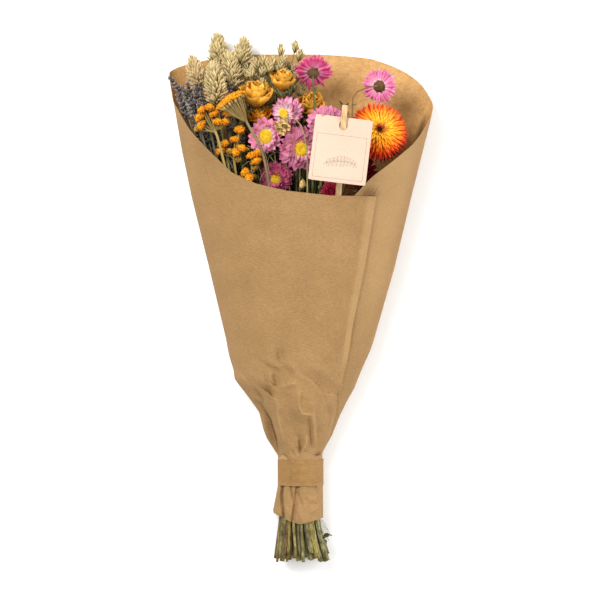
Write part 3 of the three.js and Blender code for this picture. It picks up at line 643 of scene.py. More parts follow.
class Cluster:
    """Many copies of small shapes gathered in one mesh, each bent and placed on its own."""

    def __init__(self):
        self.made = bmesh.new()
        self.spots = []
        self.marks = []
        self.kinds = []

    def add(self, shape, spots, pick=0.5, kind=0, lengthwise=None, sideways=None):
        count = len(spots)
        self.made.from_mesh(shape.mesh)
        self.spots.append(spots)
        along_marks = shape.place[:, 1] if lengthwise is None else lengthwise
        across_marks = shape.place[:, 0] if sideways is None else sideways
        self.marks.append(np.stack([along_marks, across_marks, np.full(count, pick)]))
        self.kinds.append(np.full(len(shape.mesh.polygons), kind))

    def add_rod(self, shape, spots, pick, kind):
        """A bent rod, which runs along its third axis."""
        self.add(shape, spots, pick, kind, shape.place[:, 2], shape.place[:, 0])

    def add_core(self, size, rise, spot, facing, pick, kind=0, mark=0.5):
        """A bead of one tone that fills the middle of a head."""
        spots = SEED.place * size + (0, 0, rise)
        self.add(SEED, put(spots, spot, facing), pick, kind, np.full(len(spots), mark))

    def finish(self, name, materials, slot, *nodes):
        mesh = filled(name, self.made)
        mesh.vertices.foreach_set("co", (np.concatenate(self.spots) * MM).ravel())
        marks = np.concatenate(self.marks, axis=1)
        for row, mark in enumerate(("along", "across", "pick")):
            mesh.attributes.new(mark, "FLOAT", "POINT").data.foreach_set("value", marks[row])
        mesh.polygons.foreach_set("material_index", np.concatenate(self.kinds))
        add_piece(name, mesh, materials, nodes)


def turn_to(facing, spin=0.0):
    """The turn that takes +Z to a direction."""
    turn = UP.rotation_difference(unit(facing)).to_matrix()
    return np.array(turn @ Matrix.Rotation(spin, 3, "Z"))


def put(spots, spot, facing, spin=0.0):
    return spots @ turn_to(facing, spin).T + np.array(spot)


def swung(spots, degrees):
    """Turned round +Z."""
    angle = math.radians(degrees)
    x = spots[:, 0] * math.cos(angle) - spots[:, 1] * math.sin(angle)
    y = spots[:, 0] * math.sin(angle) + spots[:, 1] * math.cos(angle)
    return np.stack([x, y, spots[:, 2]], 1)


BEND_STEPS = 24
CURVE_STEPS = 16
# Outlines of blades: places along a blade, and the share of its width that it has there
LEAF = ((0, 0.25, 0.6, 0.85, 1), (0.35, 0.8, 1.0, 0.55, 0.06))
PETAL = ((0, 0.2, 0.6, 0.82, 0.94, 1), (0.3, 0.6, 1.0, 0.9, 0.5, 0.1))
ROUND = ((0, 0.2, 0.6, 0.85, 0.96, 1), (0.35, 0.7, 1.0, 0.95, 0.6, 0.25))
POINTED = ((0, 0.2, 0.5, 0.8, 1), (0.6, 0.95, 1.0, 0.6, 0.04))


def bent(shape, length, width, lift, curl, thick=0.15, outline=PETAL, cup=0.0, ruffle=0.0, phase=0.0):
    """A blade laid along +Y that leaves at an angle and curls on along its length."""
    across, lengthwise, through = shape.place.T
    steps = np.linspace(0, 1, BEND_STEPS + 1)
    angles = np.radians(lift + curl * steps)
    stride = length / BEND_STEPS
    halfway = angles[:-1] + np.diff(angles) / 2
    reach = np.concatenate([[0], np.cumsum(np.cos(halfway)) * stride])
    rise = np.concatenate([[0], np.cumsum(np.sin(halfway)) * stride])
    angle = np.interp(lengthwise, steps, angles)
    half = np.interp(lengthwise, outline[0], outline[1]) * width / 2
    height = cup * across * across * half + through * thick
    if ruffle:
        waves = np.sin(lengthwise * 9 + phase + across * 3)
        height = height + ruffle * waves * (0.3 + abs(across)) * lengthwise
    y = np.interp(lengthwise, steps, reach) - np.sin(angle) * height
    z = np.interp(lengthwise, steps, rise) + np.cos(angle) * height
    return np.stack([across * half, y, z], 1)


# Stems


def smooth_route(spots, steps):
    """Evenly spaced spots on a smooth curve through the given ones (centripetal Catmull-Rom)."""
    spots = [Vector(spot) for spot in spots]
    ends = [spots[0] * 2 - spots[1], *spots, spots[-1] * 2 - spots[-2]]
    fine = []
    for a, b, c, d in zip(ends, ends[1:], ends[2:], ends[3:]):
        pairs = ((a, b), (b, c), (c, d))
        first, second, third = (max((q - p).length ** 0.5, 1e-4) for p, q in pairs)
        out = (b - a) / first - (c - a) / (first + second) + (c - b) / second
        into = (c - b) / second - (d - b) / (second + third) + (d - c) / third
        out, into = out * second, into * second
        for step in range(CURVE_STEPS):
            t = step / CURVE_STEPS
            fine.append(
                b * (2 * t**3 - 3 * t**2 + 1)
                + out * (t**3 - 2 * t**2 + t)
                + c * (3 * t**2 - 2 * t**3)
                + into * (t**3 - t**2)
            )
    fine = np.array([*fine, spots[-1]])
    lengths = np.concatenate([[0], np.cumsum(np.linalg.norm(np.diff(fine, axis=0), axis=1))])
    even = np.linspace(0, lengths[-1], steps + 1)
    return np.stack([np.interp(even, lengths, fine[:, axis]) for axis in range(3)], 1)


def stalk(shape, route, radius, ribs=0.0, rib_count=5, wander=0.0, seed=0.0):
    """A rod bent along a route. The radius may be a table along the route."""
    x, y, lengthwise = shape.place.T
    steps = len(route) - 1
    headings = np.gradient(route, axis=0)
    headings /= np.linalg.norm(headings, axis=1)[:, None]
    side = np.cross(headings[0], (0.3, 0.1, 1.0))
    sides = []
    for heading in headings:
        side = side - heading * side.dot(heading)
        side = side / np.linalg.norm(side)
        sides.append(side)
    sides = np.array(sides)
    ups = np.cross(headings, sides)
    level = np.rint(lengthwise * steps).astype(int)
    if isinstance(radius, (int, float)):
        reach = np.full(len(x), float(radius))
    else:
        reach = np.interp(lengthwise, [spot for spot, size in radius], [size for spot, size in radius])
    angle = np.arctan2(y, x)
    reach = reach * (1 + ribs * np.cos(rib_count * angle + seed))
    if wander:
        reach = reach * (1 + wander * np.sin(lengthwise * 37 + seed * 7) * np.sin(lengthwise * 91 + seed))
    flat = np.hypot(x, y)
    away = np.where(flat > 1e-6, reach / np.maximum(flat, 1e-6), 0)
    return route[level] + sides[level] * (x * away)[:, None] + ups[level] * (y * away)[:, None]


# Stretches of a stem, and of a twig
STEM_STEPS = 60
TWIG_STEPS = 8
BUNDLE_HALF_WIDTH = 12.3
BUNDLE_HALF_DEPTH = 10
STEM_SPACING = 3.45
SPLAY = 1.3
CUT_LEVEL = -213
# How many times the stems are pushed apart, and how far a head's place sets its stem aside in the neck
PUSHES = 400
SLOT_ACROSS, SLOT_UP, MIDDLE_SLOPE = 42, 110, 0.1


def seeded(seed):
    """The same run of numbers from 0 to 1 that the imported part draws, so that the cut ends agree."""
    factor, modulus = 16807, 2147483647
    state = seed
    while True:
        state = state * factor % modulus
        yield state / modulus


def neck_slots(stems):
    """Where each stem crosses the neck: in the order of the heads, then pushed apart in the bundle."""
    slots = []
    for stem in stems:
        away = Vector((stem["via"] or [stem["foot"]])[0]) - NECK_MIDDLE
        aside, raised = stem["nudge"]
        across = away.x / away.y * SLOT_ACROSS + aside
        slots.append([across, (away.z / away.y - MIDDLE_SLOPE) * SLOT_UP + raised])
    for _ in range(PUSHES):
        for place, slot in enumerate(slots):
            for other in slots[place + 1 :]:
                x, z = slot[0] - other[0], slot[1] - other[1]
                apart = math.hypot(x, z) or 0.01
                if apart < STEM_SPACING:
                    push = (STEM_SPACING - apart) / apart / 4
                    slot[0] += x * push
                    slot[1] += z * push
                    other[0] -= x * push
                    other[1] -= z * push
            reach = math.hypot(slot[0] / BUNDLE_HALF_WIDTH, slot[1] / BUNDLE_HALF_DEPTH)
            if reach > 1:
                slot[0] /= reach
                slot[1] /= reach
    return slots


def stem_route(stem, slot, cut_place):
    x, z = slot
    cut = Vector((NECK_MIDDLE.x + x * SPLAY, cut_place, NECK_MIDDLE.z + z * SPLAY * 0.98))
    neck = NECK_MIDDLE + Vector((x, 0, z))
    foot, facing = Vector(stem["foot"]), Vector(stem["facing"])
    under = foot - facing * stem["bend"]
    via = [Vector(spot) for spot in stem["via"]]
    reach = (via or [under])[0] - neck
    return [cut, neck, neck + reach * 0.45, *via, under, foot + facing * stem["sunk"]]


def stem_plan(foot, facing, radius=1.4, via=(), bend=9, nudge=(0, 0), sunk=0.0, **rest):
    stem = dict(foot=Vector(foot), facing=unit(facing), radius=radius, via=list(via), **rest)
    stem.update(bend=bend, nudge=nudge, sunk=sunk)
    return stem


# Where the plants stand and face, in millimetres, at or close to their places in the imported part.
# Canary grass: middle, facing, length, half width and nudge in the neck
CANARIES = [
    ((-68, 208, 15), (-0.12, 1, 0), 32, 9.5, (0, 0)),
    ((-48, 206, 15), (0.1, 1, 0.02), 28, 8, (0, 0)),
    ((-58, 191, 33), (-0.05, 1, 0.05), 34, 10, (0, 0)),
    ((-70.5, 180, 51), (-0.12, 1, 0.08), 36, 10.5, (0, 0)),
    ((-87, 190, 27), (-0.3, 1, 0.05), 26, 7.5, (0, 0)),
    ((-40, 183, 23), (0, 1, 0), 24, 6.5, (-1, -2)),
    ((-31, 182, 13), (0.05, 1, 0), 24, 6.5, (0, 0)),
]
PEACH_HEAD = 4
# Lavender: foot, facing and length
LAVENDERS = [
    ((-87, 161, 37), (-0.66, 0.72, 0.22), 34),
    ((-86, 149, 51), (-0.42, 1, 0), 31),
    ((-77, 146, 50), (-0.36, 1, 0.05), 32),
    ((-71, 150, 33), (-0.2, 1, 0), 28),
    ((-58.5, 139, 48), (-0.12, 1, 0.05), 23),
]
# Yellow sprays: middles of their larger heads
BUTTONS = {
    "yellow_spray_1": [
        (-80.5, 156, 62), (-74.7, 158, 64), (-70, 153.5, 62), (-82, 150, 61), (-80.5, 144, 62),
        (-68, 146, 65), (-60.6, 153, 62), (-62, 146, 61),
    ],
    "yellow_spray_2": [
        (-62, 128.6, 55), (-54, 132, 57), (-50, 140, 60), (-48.5, 125, 59), (-65, 122.5, 53),
        (-53, 122, 59),
    ],
    "yellow_spray_3": [(-40, 118.5, 58), (-35, 120.5, 58), (-35.5, 114, 60), (-45, 105, 58), (-42, 100, 60)],
}
# Roses: middle, facing, size, spots on the stem's way, bend and nudge
ROSES = [
    ((-35, 171, 49), (0.12, 0.75, 0.65), 13.5, [(-49, 151, 43)], 3, (0, 0)),
    ((-14, 183, 48), (0.2, 0.8, 0.55), 10, [], 9, (2, -2)),
    ((-34, 154, 39), (0, 0.6, 0.8), 9.5, [], 9, (0, 1.5)),
    ((10, 166, 37), (0.1, 0.5, 0.85), 11.5, [], 9, (0, 0)),
]
# Daisies: middle, facing, size, spots on the stem's way and nudge
DAISIES = [
    ((-29, 136, 50), (0.05, -0.1, 1), 16, [], (0, 0)),
    ((0, 126, 58), (0.2, -0.2, 1), 18, [], (0, 0)),
    ((-10, 159, 50), (-0.5, -0.45, 0.75), 11.5, [], (0, 0)),
    ((21, 146, 68), (0.05, 0.05, 1), 15.5, [], (0, 0)),
    ((11, 189, 36), (0, 0.6, -0.8), 16, [(12, 155, 52)], (0, 0)),
    ((66, 178, 36), (0.3, 0.05, -0.95), 14.5, [(43, 150, 60), (45, 170, 58)], (0, 0)),
    ((-20, 106, 47), (-0.1, -0.3, 0.95), 13, [], (-1.5, 1.5)),
]
# Strawflowers: kind, middle, facing, size, bend and nudge
STRAWFLOWERS = [
    ("flame", (64, 138, 42), (0.2, 0.35, 0.9), 25, 9, (-2, 0.5)),
    ("dark_red", (51, 110, 34), (0, -0.1, 1), 12, 4, (-1.5, -1.5)),
    ("crimson", (25, 92, 50), (0, 0, 1), 8.5, 9, (0, 0)),
]
# Oats: feet of the ears, and how far each leans to the right, in radians
EARS = [
    [
        (-35, 191, 38, -0.35), (-30, 193, 35, -0.15), (-23, 192, 31, 0.1), (-16, 193, 32, 0.35),
        (-26, 186, 37, -0.1), (-17, 185, 30, 0.4),
    ],
    [(-15.8, 203, 22, -0.05), (-4.5, 206, 22, 0.05), (-1.5, 199, 24, 0.2)],
]
PODS = [(-14.2, 147.2, 68.3), (-18, 143.6, 67.7), (-11.6, 142.7, 69.1), (-15.4, 139.2, 68.6)]
LOW_POD = (1.5, 95.5, 60)
# Between a calyx and its bloom
CALYX_GAP = 0.4
CALYX_LENGTH = 4
LARGE_BLOOM = 20
GOLDEN_ANGLE = 2.39996
GOLDEN_DEGREES = 137.5


def bloom_stem(name, middle, facing, size, drop, via=(), bend=9, nudge=(0, 0)):
    facing = unit(facing)
    foot = Vector(middle) - facing * (drop + CALYX_GAP + CALYX_LENGTH)
    radius = 1.8 if size > LARGE_BLOOM else 1.4
    return stem_plan(foot, facing, radius, via, bend, nudge, 1.5, name=name)


def plan_stems():
    """Every stem in the order of the neck slots."""
    plan = []
    for place, (middle, facing, length, _, nudge) in enumerate(CANARIES):
        facing = unit(facing)
        foot = Vector(middle) - facing * length / 2
        name = f"canary_grass_{place + 1}"
        plan.append(stem_plan(foot, facing, 1.3, nudge=nudge, sunk=3, name=name))
    for place, (foot, facing, length) in enumerate(LAVENDERS):
        plan.append(stem_plan(foot, facing, 1.2, sunk=2, name=f"lavender_{place + 1}"))
    umbel_via = [(-25, 91, 64), (-31.5, 123, 65.5), (-38, 136, 66)]
    plan.append(stem_plan((-45.6, 152, 65), (-0.3, 1, 0.1), 1.5, umbel_via, 5, name="yarrow_umbel"))
    plan.append(stem_plan((-70.5, 141, 63), (-0.35, 1, 0), 1.3, name="yellow_spray_1"))
    plan.append(stem_plan((-55, 121, 54), (-0.1, 1, 0), 1.3, name="yellow_spray_2"))
    plan.append(stem_plan((-40, 107, 56), (0, 1, 0.1), 1.2, name="yellow_spray_3"))
    for place, (middle, facing, size, via, bend, nudge) in enumerate(ROSES):
        name = f"rose_stem_{place + 1}"
        plan.append(bloom_stem(name, middle, facing, size, size * 0.6, via, bend, nudge))
    for place, (middle, facing, size, via, nudge) in enumerate(DAISIES):
        plan.append(bloom_stem(f"daisy_{place + 1}_stem", middle, facing, size, 0, via, 9, nudge))
    for name, middle, facing, size, bend, nudge in STRAWFLOWERS:
        plan.append(bloom_stem(f"strawflower_{name}_stem", middle, facing, size, 0, (), bend, nudge))
    plan.append(stem_plan((-27, 184, 31), (0, 1, 0), 1.2, name="oat_spray_1"))
    plan.append(stem_plan((-9, 195, 22), (0, 1, 0), 1.2, name="oat_spray_2"))
    pod_via = [(6, 100, 65), (5, 128, 71), (0, 145, 71), (-8, 151, 70)]
    plan.append(stem_plan((-14, 148.6, 68), (-0.5, -1, -0.1), 1.0, pod_via, 2, name="pod_spray"))
    cuts = seeded(41)
    for stem, slot in zip(plan, neck_slots(plan)):
        spots = stem_route(stem, slot, CUT_LEVEL - 4 * next(cuts))
        stem["route"] = smooth_route(spots, STEM_STEPS)
    return {stem["name"]: stem for stem in plan}


STEM_ROD = rod_shape("stem_rod", 8, STEM_STEPS)
FILLING_ROD = rod_shape("filling_rod", 8, STEM_STEPS // 2)
TWIG_ROD = rod_shape("twig_rod", 5, TWIG_STEPS)
SCALE = blade_shape("scale", 2, 4)
BRACT = blade_shape("bract", 4, 6)
SMALL_BLADE = blade_shape("small_blade", 4, 8)
WIDE_BLADE = blade_shape("wide_blade", 8, 12)
PETAL_BLADE = blade_shape("petal_blade", 4, 6)
BEAD = bead_shape("bead", 2)
SMALL_BEAD = bead_shape("small_bead", 1)
SEED = seed_shape("seed", 8, 6)
BUD = seed_shape("bud", 6, 4)


def add_stem(cluster, stem, kind, ribs=0.08, rib_count=5, slim=1.0):
    """A stem that thins a little towards its head."""
    draw = random.Random(stem["name"])
    radius = stem["radius"] * slim
    table = [(0, radius * 1.04), (0.35, radius), (0.8, radius * 0.92), (1, radius * 0.8)]
    spots = stalk(STEM_ROD, stem["route"], table, ribs, rib_count, 0.03, draw.uniform(0, 6))
    cluster.add_rod(STEM_ROD, spots, draw.random(), kind)


def add_twig(cluster, spots, radius, pick, kind, thin=0.7):
    route = smooth_route(spots, TWIG_STEPS)
    cluster.add_rod(TWIG_ROD, stalk(TWIG_ROD, route, [(0, radius), (1, radius * thin)]), pick, kind)


# Heads


def build_canary_grass(stems, materials):
    """Dense egg-shaped spikes of keeled, pointed scales. One head has some peach ones."""
    for place, (_, _, length, half_width, _) in enumerate(CANARIES):
        draw = random.Random(100 + place)
        name = f"canary_grass_{place + 1}"
        stem = stems[name]
        cluster = Cluster()
        add_stem(cluster, stem, 1)
        core = (half_width * 0.62, half_width * 0.5, length * 0.38)
        # Dark core, in the husks' darkest tone: painted shade deep between the scales
        cluster.add_core(core, length * 0.44, stem["foot"], stem["facing"], 0.0, 0, 0.0)
        scales = int(150 + half_width * 13)
        for step in range(scales):
            share = (step + 0.5) / scales
            height = length * (0.02 + 0.82 * share)
            girth = half_width * max(0.05, math.sin(math.pi * (0.08 + 0.84 * share) ** 0.85)) ** 0.6
            swing = step * GOLDEN_DEGREES + draw.uniform(-9, 9)
            size = draw.uniform(0.75, 1.25)
            lift = 24 + 52 * share + draw.uniform(-14, 14)
            blade = bent(SCALE, 7.3 * size, 2.2 * size, lift, 26, 0.2, POINTED, 1.2)
            blade = blade + (0, girth * 0.54, height - 1.5)
            blade = swung(blade, swing) * (1, 0.82, 1)
            kind = 2 if place == PEACH_HEAD and draw.random() < 0.55 else 0
            cluster.add(SCALE, put(blade, stem["foot"], stem["facing"]), draw.random(), kind)
        cluster.finish(f"canary_grass_head_{place + 1}", materials, "canary_grass", name)


def add_lavender_spike(cluster, foot, facing, length, draw):
    """Whorls of ribbed calyxes, some with a withered flower, and small gaps between."""
    whorls = max(5, round(length / 3.4))
    top = foot + facing * length * 0.98
    add_twig(cluster, [foot, foot.lerp(top, 0.5), top], 0.75, draw.random(), 1)
    ribs = 1 + 0.14 * np.cos(np.arctan2(BUD.place[:, 1], BUD.place[:, 0]) * 3)
    ribs = np.stack([ribs, ribs, np.ones(len(ribs))], 1)
    for whorl in range(whorls):
        share = whorl / (whorls - 1)
        height = length * (0.06 + 0.84 * share)
        size = 1.0 - 0.35 * share ** 2
        buds = 11 if share < 0.8 else 7
        for bud in range(buds):
            swing = bud * 360 / buds + whorl * 26 + draw.uniform(-12, 12)
            tilt = math.radians(draw.uniform(26, 62) * (1 - 0.55 * share))
            long, wide = draw.uniform(1.9, 2.7) * size, draw.uniform(0.75, 1.1) * size
            spots = (BUD.place * (wide, wide, long) + (0, 0, long * 0.9)) * ribs
            angle = math.radians(swing)
            out = (math.sin(tilt) * math.cos(angle), math.sin(tilt) * math.sin(angle))
            spots = put(spots, (out[0] * 0.9, out[1] * 0.9, height), (*out, math.cos(tilt)))
            pick, kind = draw.random(), 1 if draw.random() < 0.22 else 0
            cluster.add(BUD, put(spots, foot, facing), pick, kind, (BUD.place[:, 2] + 1) / 2)
            if draw.random() < 0.3:
                petal = bent(SCALE, 2.4, 1.8, draw.uniform(10, 60), 40, 0.12, ROUND)
                petal = put(petal, (out[0] * 3.2, out[1] * 3.2, height + long * 1.4), (*out, 1.0), swing)
                cluster.add(SCALE, put(petal, foot, facing), draw.random(), 2)
        leaf = bent(SCALE, 2.6 * size, 2.2, 30, 30, 0.15, LEAF)
        leaf = swung(leaf + (0, 0.6, height - 1), draw.uniform(0, 360))
        cluster.add(SCALE, put(leaf, foot, facing), draw.random(), 1)


# The step of a lavender's stem at which its side spikes leave
SIDE_BRANCH = 46


def build_lavender(stems, materials):
    """Each stem carries its spike, with shorter side spikes of the same plant beside it."""
    beside = [
        [
            ((-82, 146, 42), (-0.3, 1, 0.1), 24), ((-95, 152, 36), (-0.3, 1, 0.1), 20),
            ((-89.5, 161, 46), (-0.2, 1, 0.05), 19), ((-84, 160, 46), (-0.1, 1, 0), 19),
        ],
        [
            ((-92, 150, 42), (-0.5, 1, -0.1), 22), ((-83, 138, 44), (-0.35, 1, 0), 22),
            ((-84, 152, 46), (0.1, 1, 0.1), 24),
        ],
        [
            ((-75, 130, 44), (-0.4, 1, 0.1), 24), ((-80, 128, 40), (-0.4, 1, 0), 20),
            ((-78, 156, 44), (0.12, 1, 0), 22),
        ],
        [
            ((-66, 146, 34), (0.1, 1, 0), 24), ((-58, 156, 42), (0.05, 1, 0.05), 24),
            ((-70, 128, 40), (-0.2, 1, 0), 22),
        ],
        [
            ((-63, 118, 42), (-0.3, 1, 0.05), 24), ((-47, 120, 42), (-0.1, 1, 0), 24),
            ((-70, 116, 38), (-0.4, 1, 0), 20), ((-56, 106, 40), (-0.3, 1, 0), 22),
        ],
    ]
    for place, (_, _, length) in enumerate(LAVENDERS):
        draw = random.Random(200 + place)
        stem = stems[f"lavender_{place + 1}"]
        cluster = Cluster()
        add_stem(cluster, stem, 1, 0.16, 4)
        add_lavender_spike(cluster, stem["foot"], stem["facing"], length, draw)
        near = Vector(stem["route"][SIDE_BRANCH])
        for side_foot, side_facing, side_length in beside[place]:
            side_foot, aim = Vector(side_foot), unit(side_facing)
            add_lavender_spike(cluster, side_foot, aim, side_length, draw)
            middle = near.lerp(side_foot, 0.6) + Vector((0, -4, 0))
            add_twig(cluster, [near, middle, side_foot + aim], 0.8, draw.random(), 1)
        cluster.finish(f"lavender_spikes_{place + 1}", materials, "lavender", f"lavender_{place + 1}")


def spiral_spot(step, reach, start=0):
    """The next spot of a spiral in which no two spots line up, as in a flower head."""
    angle = step * GOLDEN_ANGLE + start
    return reach * math.cos(angle), reach * math.sin(angle)


def add_button(cluster, middle, facing, radius, draw, kind=0):
    """A dome of tiny packed florets on a pale scaly cup."""
    facing = unit(facing)
    florets = int(15 * radius)
    for step in range(florets):
        share = (step + 0.5) / florets
        polar = math.acos(1 - share)
        swing = step * GOLDEN_ANGLE + draw.uniform(-0.15, 0.15)
        flat = math.sin(polar)
        out = Vector((flat * math.cos(swing), flat * math.sin(swing), math.cos(polar)))
        size = radius * draw.uniform(0.15, 0.27)
        lump = SMALL_BEAD.place * (size, size, size * 1.3)
        lump = put(lump, out * radius * draw.uniform(0.78, 1.04), out)
        lump = lump * (1, 1, 0.8)
        mark = np.full(len(lump), 1 - share * 0.9)
        cluster.add(SMALL_BEAD, put(lump, middle, facing), draw.random(), kind, mark)
    core = put(BEAD.place * (radius * 0.8, radius * 0.8, radius * 0.62), middle, facing)
    cluster.add(BEAD, core, 0.2, kind, np.zeros(len(core)))
    for step in range(9):
        cup = bent(SCALE, radius * 1.25, radius * 0.75, 20, 75, 0.2, LEAF, 0.4)
        cup = swung(cup + (0, radius * 0.1, -radius * 0.75), step * 40 + draw.uniform(-6, 6))
        cluster.add(SCALE, put(cup, middle, facing), draw.random(), 1)


def build_yellow_sprays(stems, materials):
    for number, (name, spots) in enumerate(BUTTONS.items()):
        draw = random.Random(300 + number)
        stem = stems[name]
        cluster = Cluster()
        add_stem(cluster, stem, 1)
        start = stem["foot"] - stem["facing"] * 6
        for place, spot in enumerate(spots):
            middle = Vector(spot)
            root = start.lerp(stem["foot"], (place + 0.6) / (len(spots) + 1))
            knee = root.lerp(middle, 0.6) + Vector((0, -1.5, 0))
            add_twig(cluster, [root, knee, middle], 0.8, draw.random(), 1)
            facing = unit(middle - stem["foot"]) * 0.5
            facing += Vector((draw.uniform(-0.8, 0.1), draw.uniform(0.4, 1.0), 0.5))
            add_button(cluster, middle, facing, draw.uniform(3.6, 4.6), draw)
            for _ in range(2):
                aside = Vector((draw.uniform(-5, 5), draw.uniform(-6, 2), draw.uniform(-6, -1)))
                near = middle + aside
                add_button(cluster, near, facing, draw.uniform(2.0, 2.8), draw, 2)
                add_twig(cluster, [root, (root + middle + aside) / 2, near], 0.5, draw.random(), 1)
        cluster.finish(f"{name}_heads", materials, "yellow_buttons", name)


def build_umbel(stems, materials):
    """A flat yarrow head seen from its edge: golden florets above, tan rays and cups below."""
    draw = random.Random(340)
    stem = stems["yarrow_umbel"]
    cluster = Cluster()
    add_stem(cluster, stem, 1, 0.14, 6)
    start = stem["foot"] - stem["facing"] * 6
    facing = unit((-0.54, 0.83, 0.1))
    turn = turn_to(facing)
    middle = Vector((-56.6, 163.4, 68))
    groups, florets = 52, 9
    for step in range(groups):
        share = (step + 0.5) / groups
        x, y = spiral_spot(step, 11.6 * math.sqrt(share))
        head = Vector(turn @ (x, y, 3.4 - 2.6 * share + draw.uniform(-0.5, 0.7))) + middle
        lean = unit(facing + Vector(turn @ (x, y, 0)) * 0.03)
        knee = start.lerp(head, 0.55) - facing * 1.2
        add_twig(cluster, [start, knee, head - lean * 1.6], 0.34, draw.random() * 0.6, 2, 0.6)
        for floret in range(florets):
            spread = 2.2 * math.sqrt((floret + 0.4) / florets)
            spot = head + Vector(turn @ (*spiral_spot(floret, spread, step), 1.7 - spread * 0.5))
            size = draw.uniform(0.8, 1.15)
            lump = put(SMALL_BEAD.place * (size, size, size * 1.1), spot, lean)
            cluster.add(SMALL_BEAD, lump, draw.random(), 0, np.full(len(lump), draw.uniform(0.45, 1)))
        cup = SEED.place * (1.15, 1.15, 2.3) + (0, 0, -1.8)
        cluster.add(SEED, put(cup, head, lean), draw.random(), 2, (SEED.place[:, 2] + 1) / 2)
    cluster.finish("yarrow_umbel_head", materials, "umbel", "yarrow_umbel")


# Rings of a rose's petals: share of the reach, count, height, lift and curl
ROSE_RINGS = [
    (0.14, 4, 0.88, 88, 24), (0.3, 5, 0.98, 84, 22), (0.5, 5, 1.04, 80, 14), (0.7, 6, 1.02, 75, 0),
    (0.88, 6, 0.96, 68, -20),
]
ORANGE_ROSE = 2
# How much larger each bloom is than its solid, and how far it is moved
ROSE_FULLNESS = [1.4, 1.45, 1.45, 1.35]
ROSE_SHIFTS = [(-0.4, -5.2, 0), (-0.4, -4.8, 0), (1.2, -4.2, 1), (-0.5, -7.4, 0)]


def rose_petal(size, ring, step, draw):
    """A crinkled petal that wraps the heart at its ring's reach."""
    reach, _, tall, lift, curl = ring
    length = size * 1.28 * tall * draw.uniform(0.92, 1.05)
    width = size * (0.85 + reach * 0.85)
    petal = bent(
        WIDE_BLADE, length, width, lift - 40, 66 + curl, 0.22, ROUND,
        0.55 - reach * 0.2, draw.uniform(0.9, 1.7), draw.uniform(0, 6),
    )
    across, lengthwise, _ = WIDE_BLADE.place.T
    rim_wave = lengthwise ** 4 * np.sin(across * 3.4 + step * 2.3)
    petal[:, 1] += size * 0.05 + 0.7 * rim_wave
    petal[:, 2] += 0.3 * rim_wave
    rim = size * reach * 1.08
    outward = petal[:, 1] - size * 0.05
    petal[:, 1] = np.minimum(outward, rim + (outward - rim) * 0.3)
    x, arm, z = petal.T
    wrap = x / max(rim * 1.2, size * 0.3)
    return np.stack([arm * np.sin(wrap) + x * 0.25, arm * np.cos(wrap), z], 1)


def build_roses(stems, materials, leaf_materials):
    """Dried spray roses: crinkled petals that wrap a closed heart, and a green calyx below."""
    for place, (middle, facing, size, *_) in enumerate(ROSES):
        draw = random.Random(400 + place)
        facing = unit(facing)
        shift = Vector(ROSE_SHIFTS[place])
        foot = Vector(middle) - facing * size * 0.6 + shift
        mouth = unit(facing + Vector((-0.08, 0.18, 0.0)))
        size *= ROSE_FULLNESS[place]
        kind = 1 if place == ORANGE_ROSE else 0
        cluster = Cluster()
        cluster.add_core((size * 0.42, size * 0.42, size * 0.42), size * 0.62, foot, mouth, 0.3, 0, 0.3)
        for level, ring in enumerate(ROSE_RINGS):
            petals = ring[1]
            for step in range(petals):
                swing = step * 360 / petals + level * 37 + draw.uniform(-10, 10)
                petal = swung(rose_petal(size, ring, step, draw), swing)
                cluster.add(WIDE_BLADE, put(petal, foot, mouth), draw.random(), kind)
        cluster.finish(f"rose_bloom_{place + 1}", materials, "roses", f"rose_{place + 1}")
        name = f"rose_stem_{place + 1}"
        cluster = Cluster()
        add_stem(cluster, stems[name], 0)
        seat = dict(stems[name], foot=stems[name]["foot"] + shift)
        add_calyx(cluster, seat, 3.6, size * 0.62, 5, draw)
        add_leaves(cluster, stems[name], draw, 5, 11)
        cluster.finish(f"{name}_green", leaf_materials, "stems", name)


def add_calyx(cluster, stem, width, sepal, count, draw, kind=1):
    """A cup with narrow pointed lobes under a bloom."""
    foot, facing = stem["foot"], stem["facing"]
    cup = (width * 0.92, width * 0.92, CALYX_LENGTH * 0.55)
    cluster.add_core(cup, CALYX_LENGTH * 0.5, foot, facing, 0.4, kind)
    for step in range(count):
        lobe = bent(SCALE, sepal, width * 0.75, 35, 30 + draw.uniform(-25, 15), 0.2, LEAF, 0.4)
        lobe = lobe + (0, width * 0.5, CALYX_LENGTH * 0.4)
        lobe = swung(lobe, step * 360 / count + draw.uniform(-8, 8))
        cluster.add(SCALE, put(lobe, foot, facing), draw.random(), kind)


def add_leaves(cluster, stem, draw, count, length, first=0.72, last=0.96):
    """Dry curled leaves that grow from the upper part of a stem."""
    route = stem["route"]
    for step in range(count):
        share = first + (last - first) * (step + draw.random()) / count
        place = min(len(route) - 2, int(share * (len(route) - 1)))
        heading = unit(route[place + 1] - route[place])
        size = length * draw.uniform(0.7, 1.15)
        leaf = bent(
            SMALL_BLADE, size, size * 0.38, draw.uniform(10, 50), draw.uniform(-40, 70), 0.2, LEAF,
            draw.uniform(0.4, 1.0), draw.uniform(0.2, 0.7), draw.uniform(0, 6),
        )
        leaf = swung(leaf, draw.uniform(0, 360))
        cluster.add(SMALL_BLADE, put(leaf, route[place], heading), draw.random(), 1)


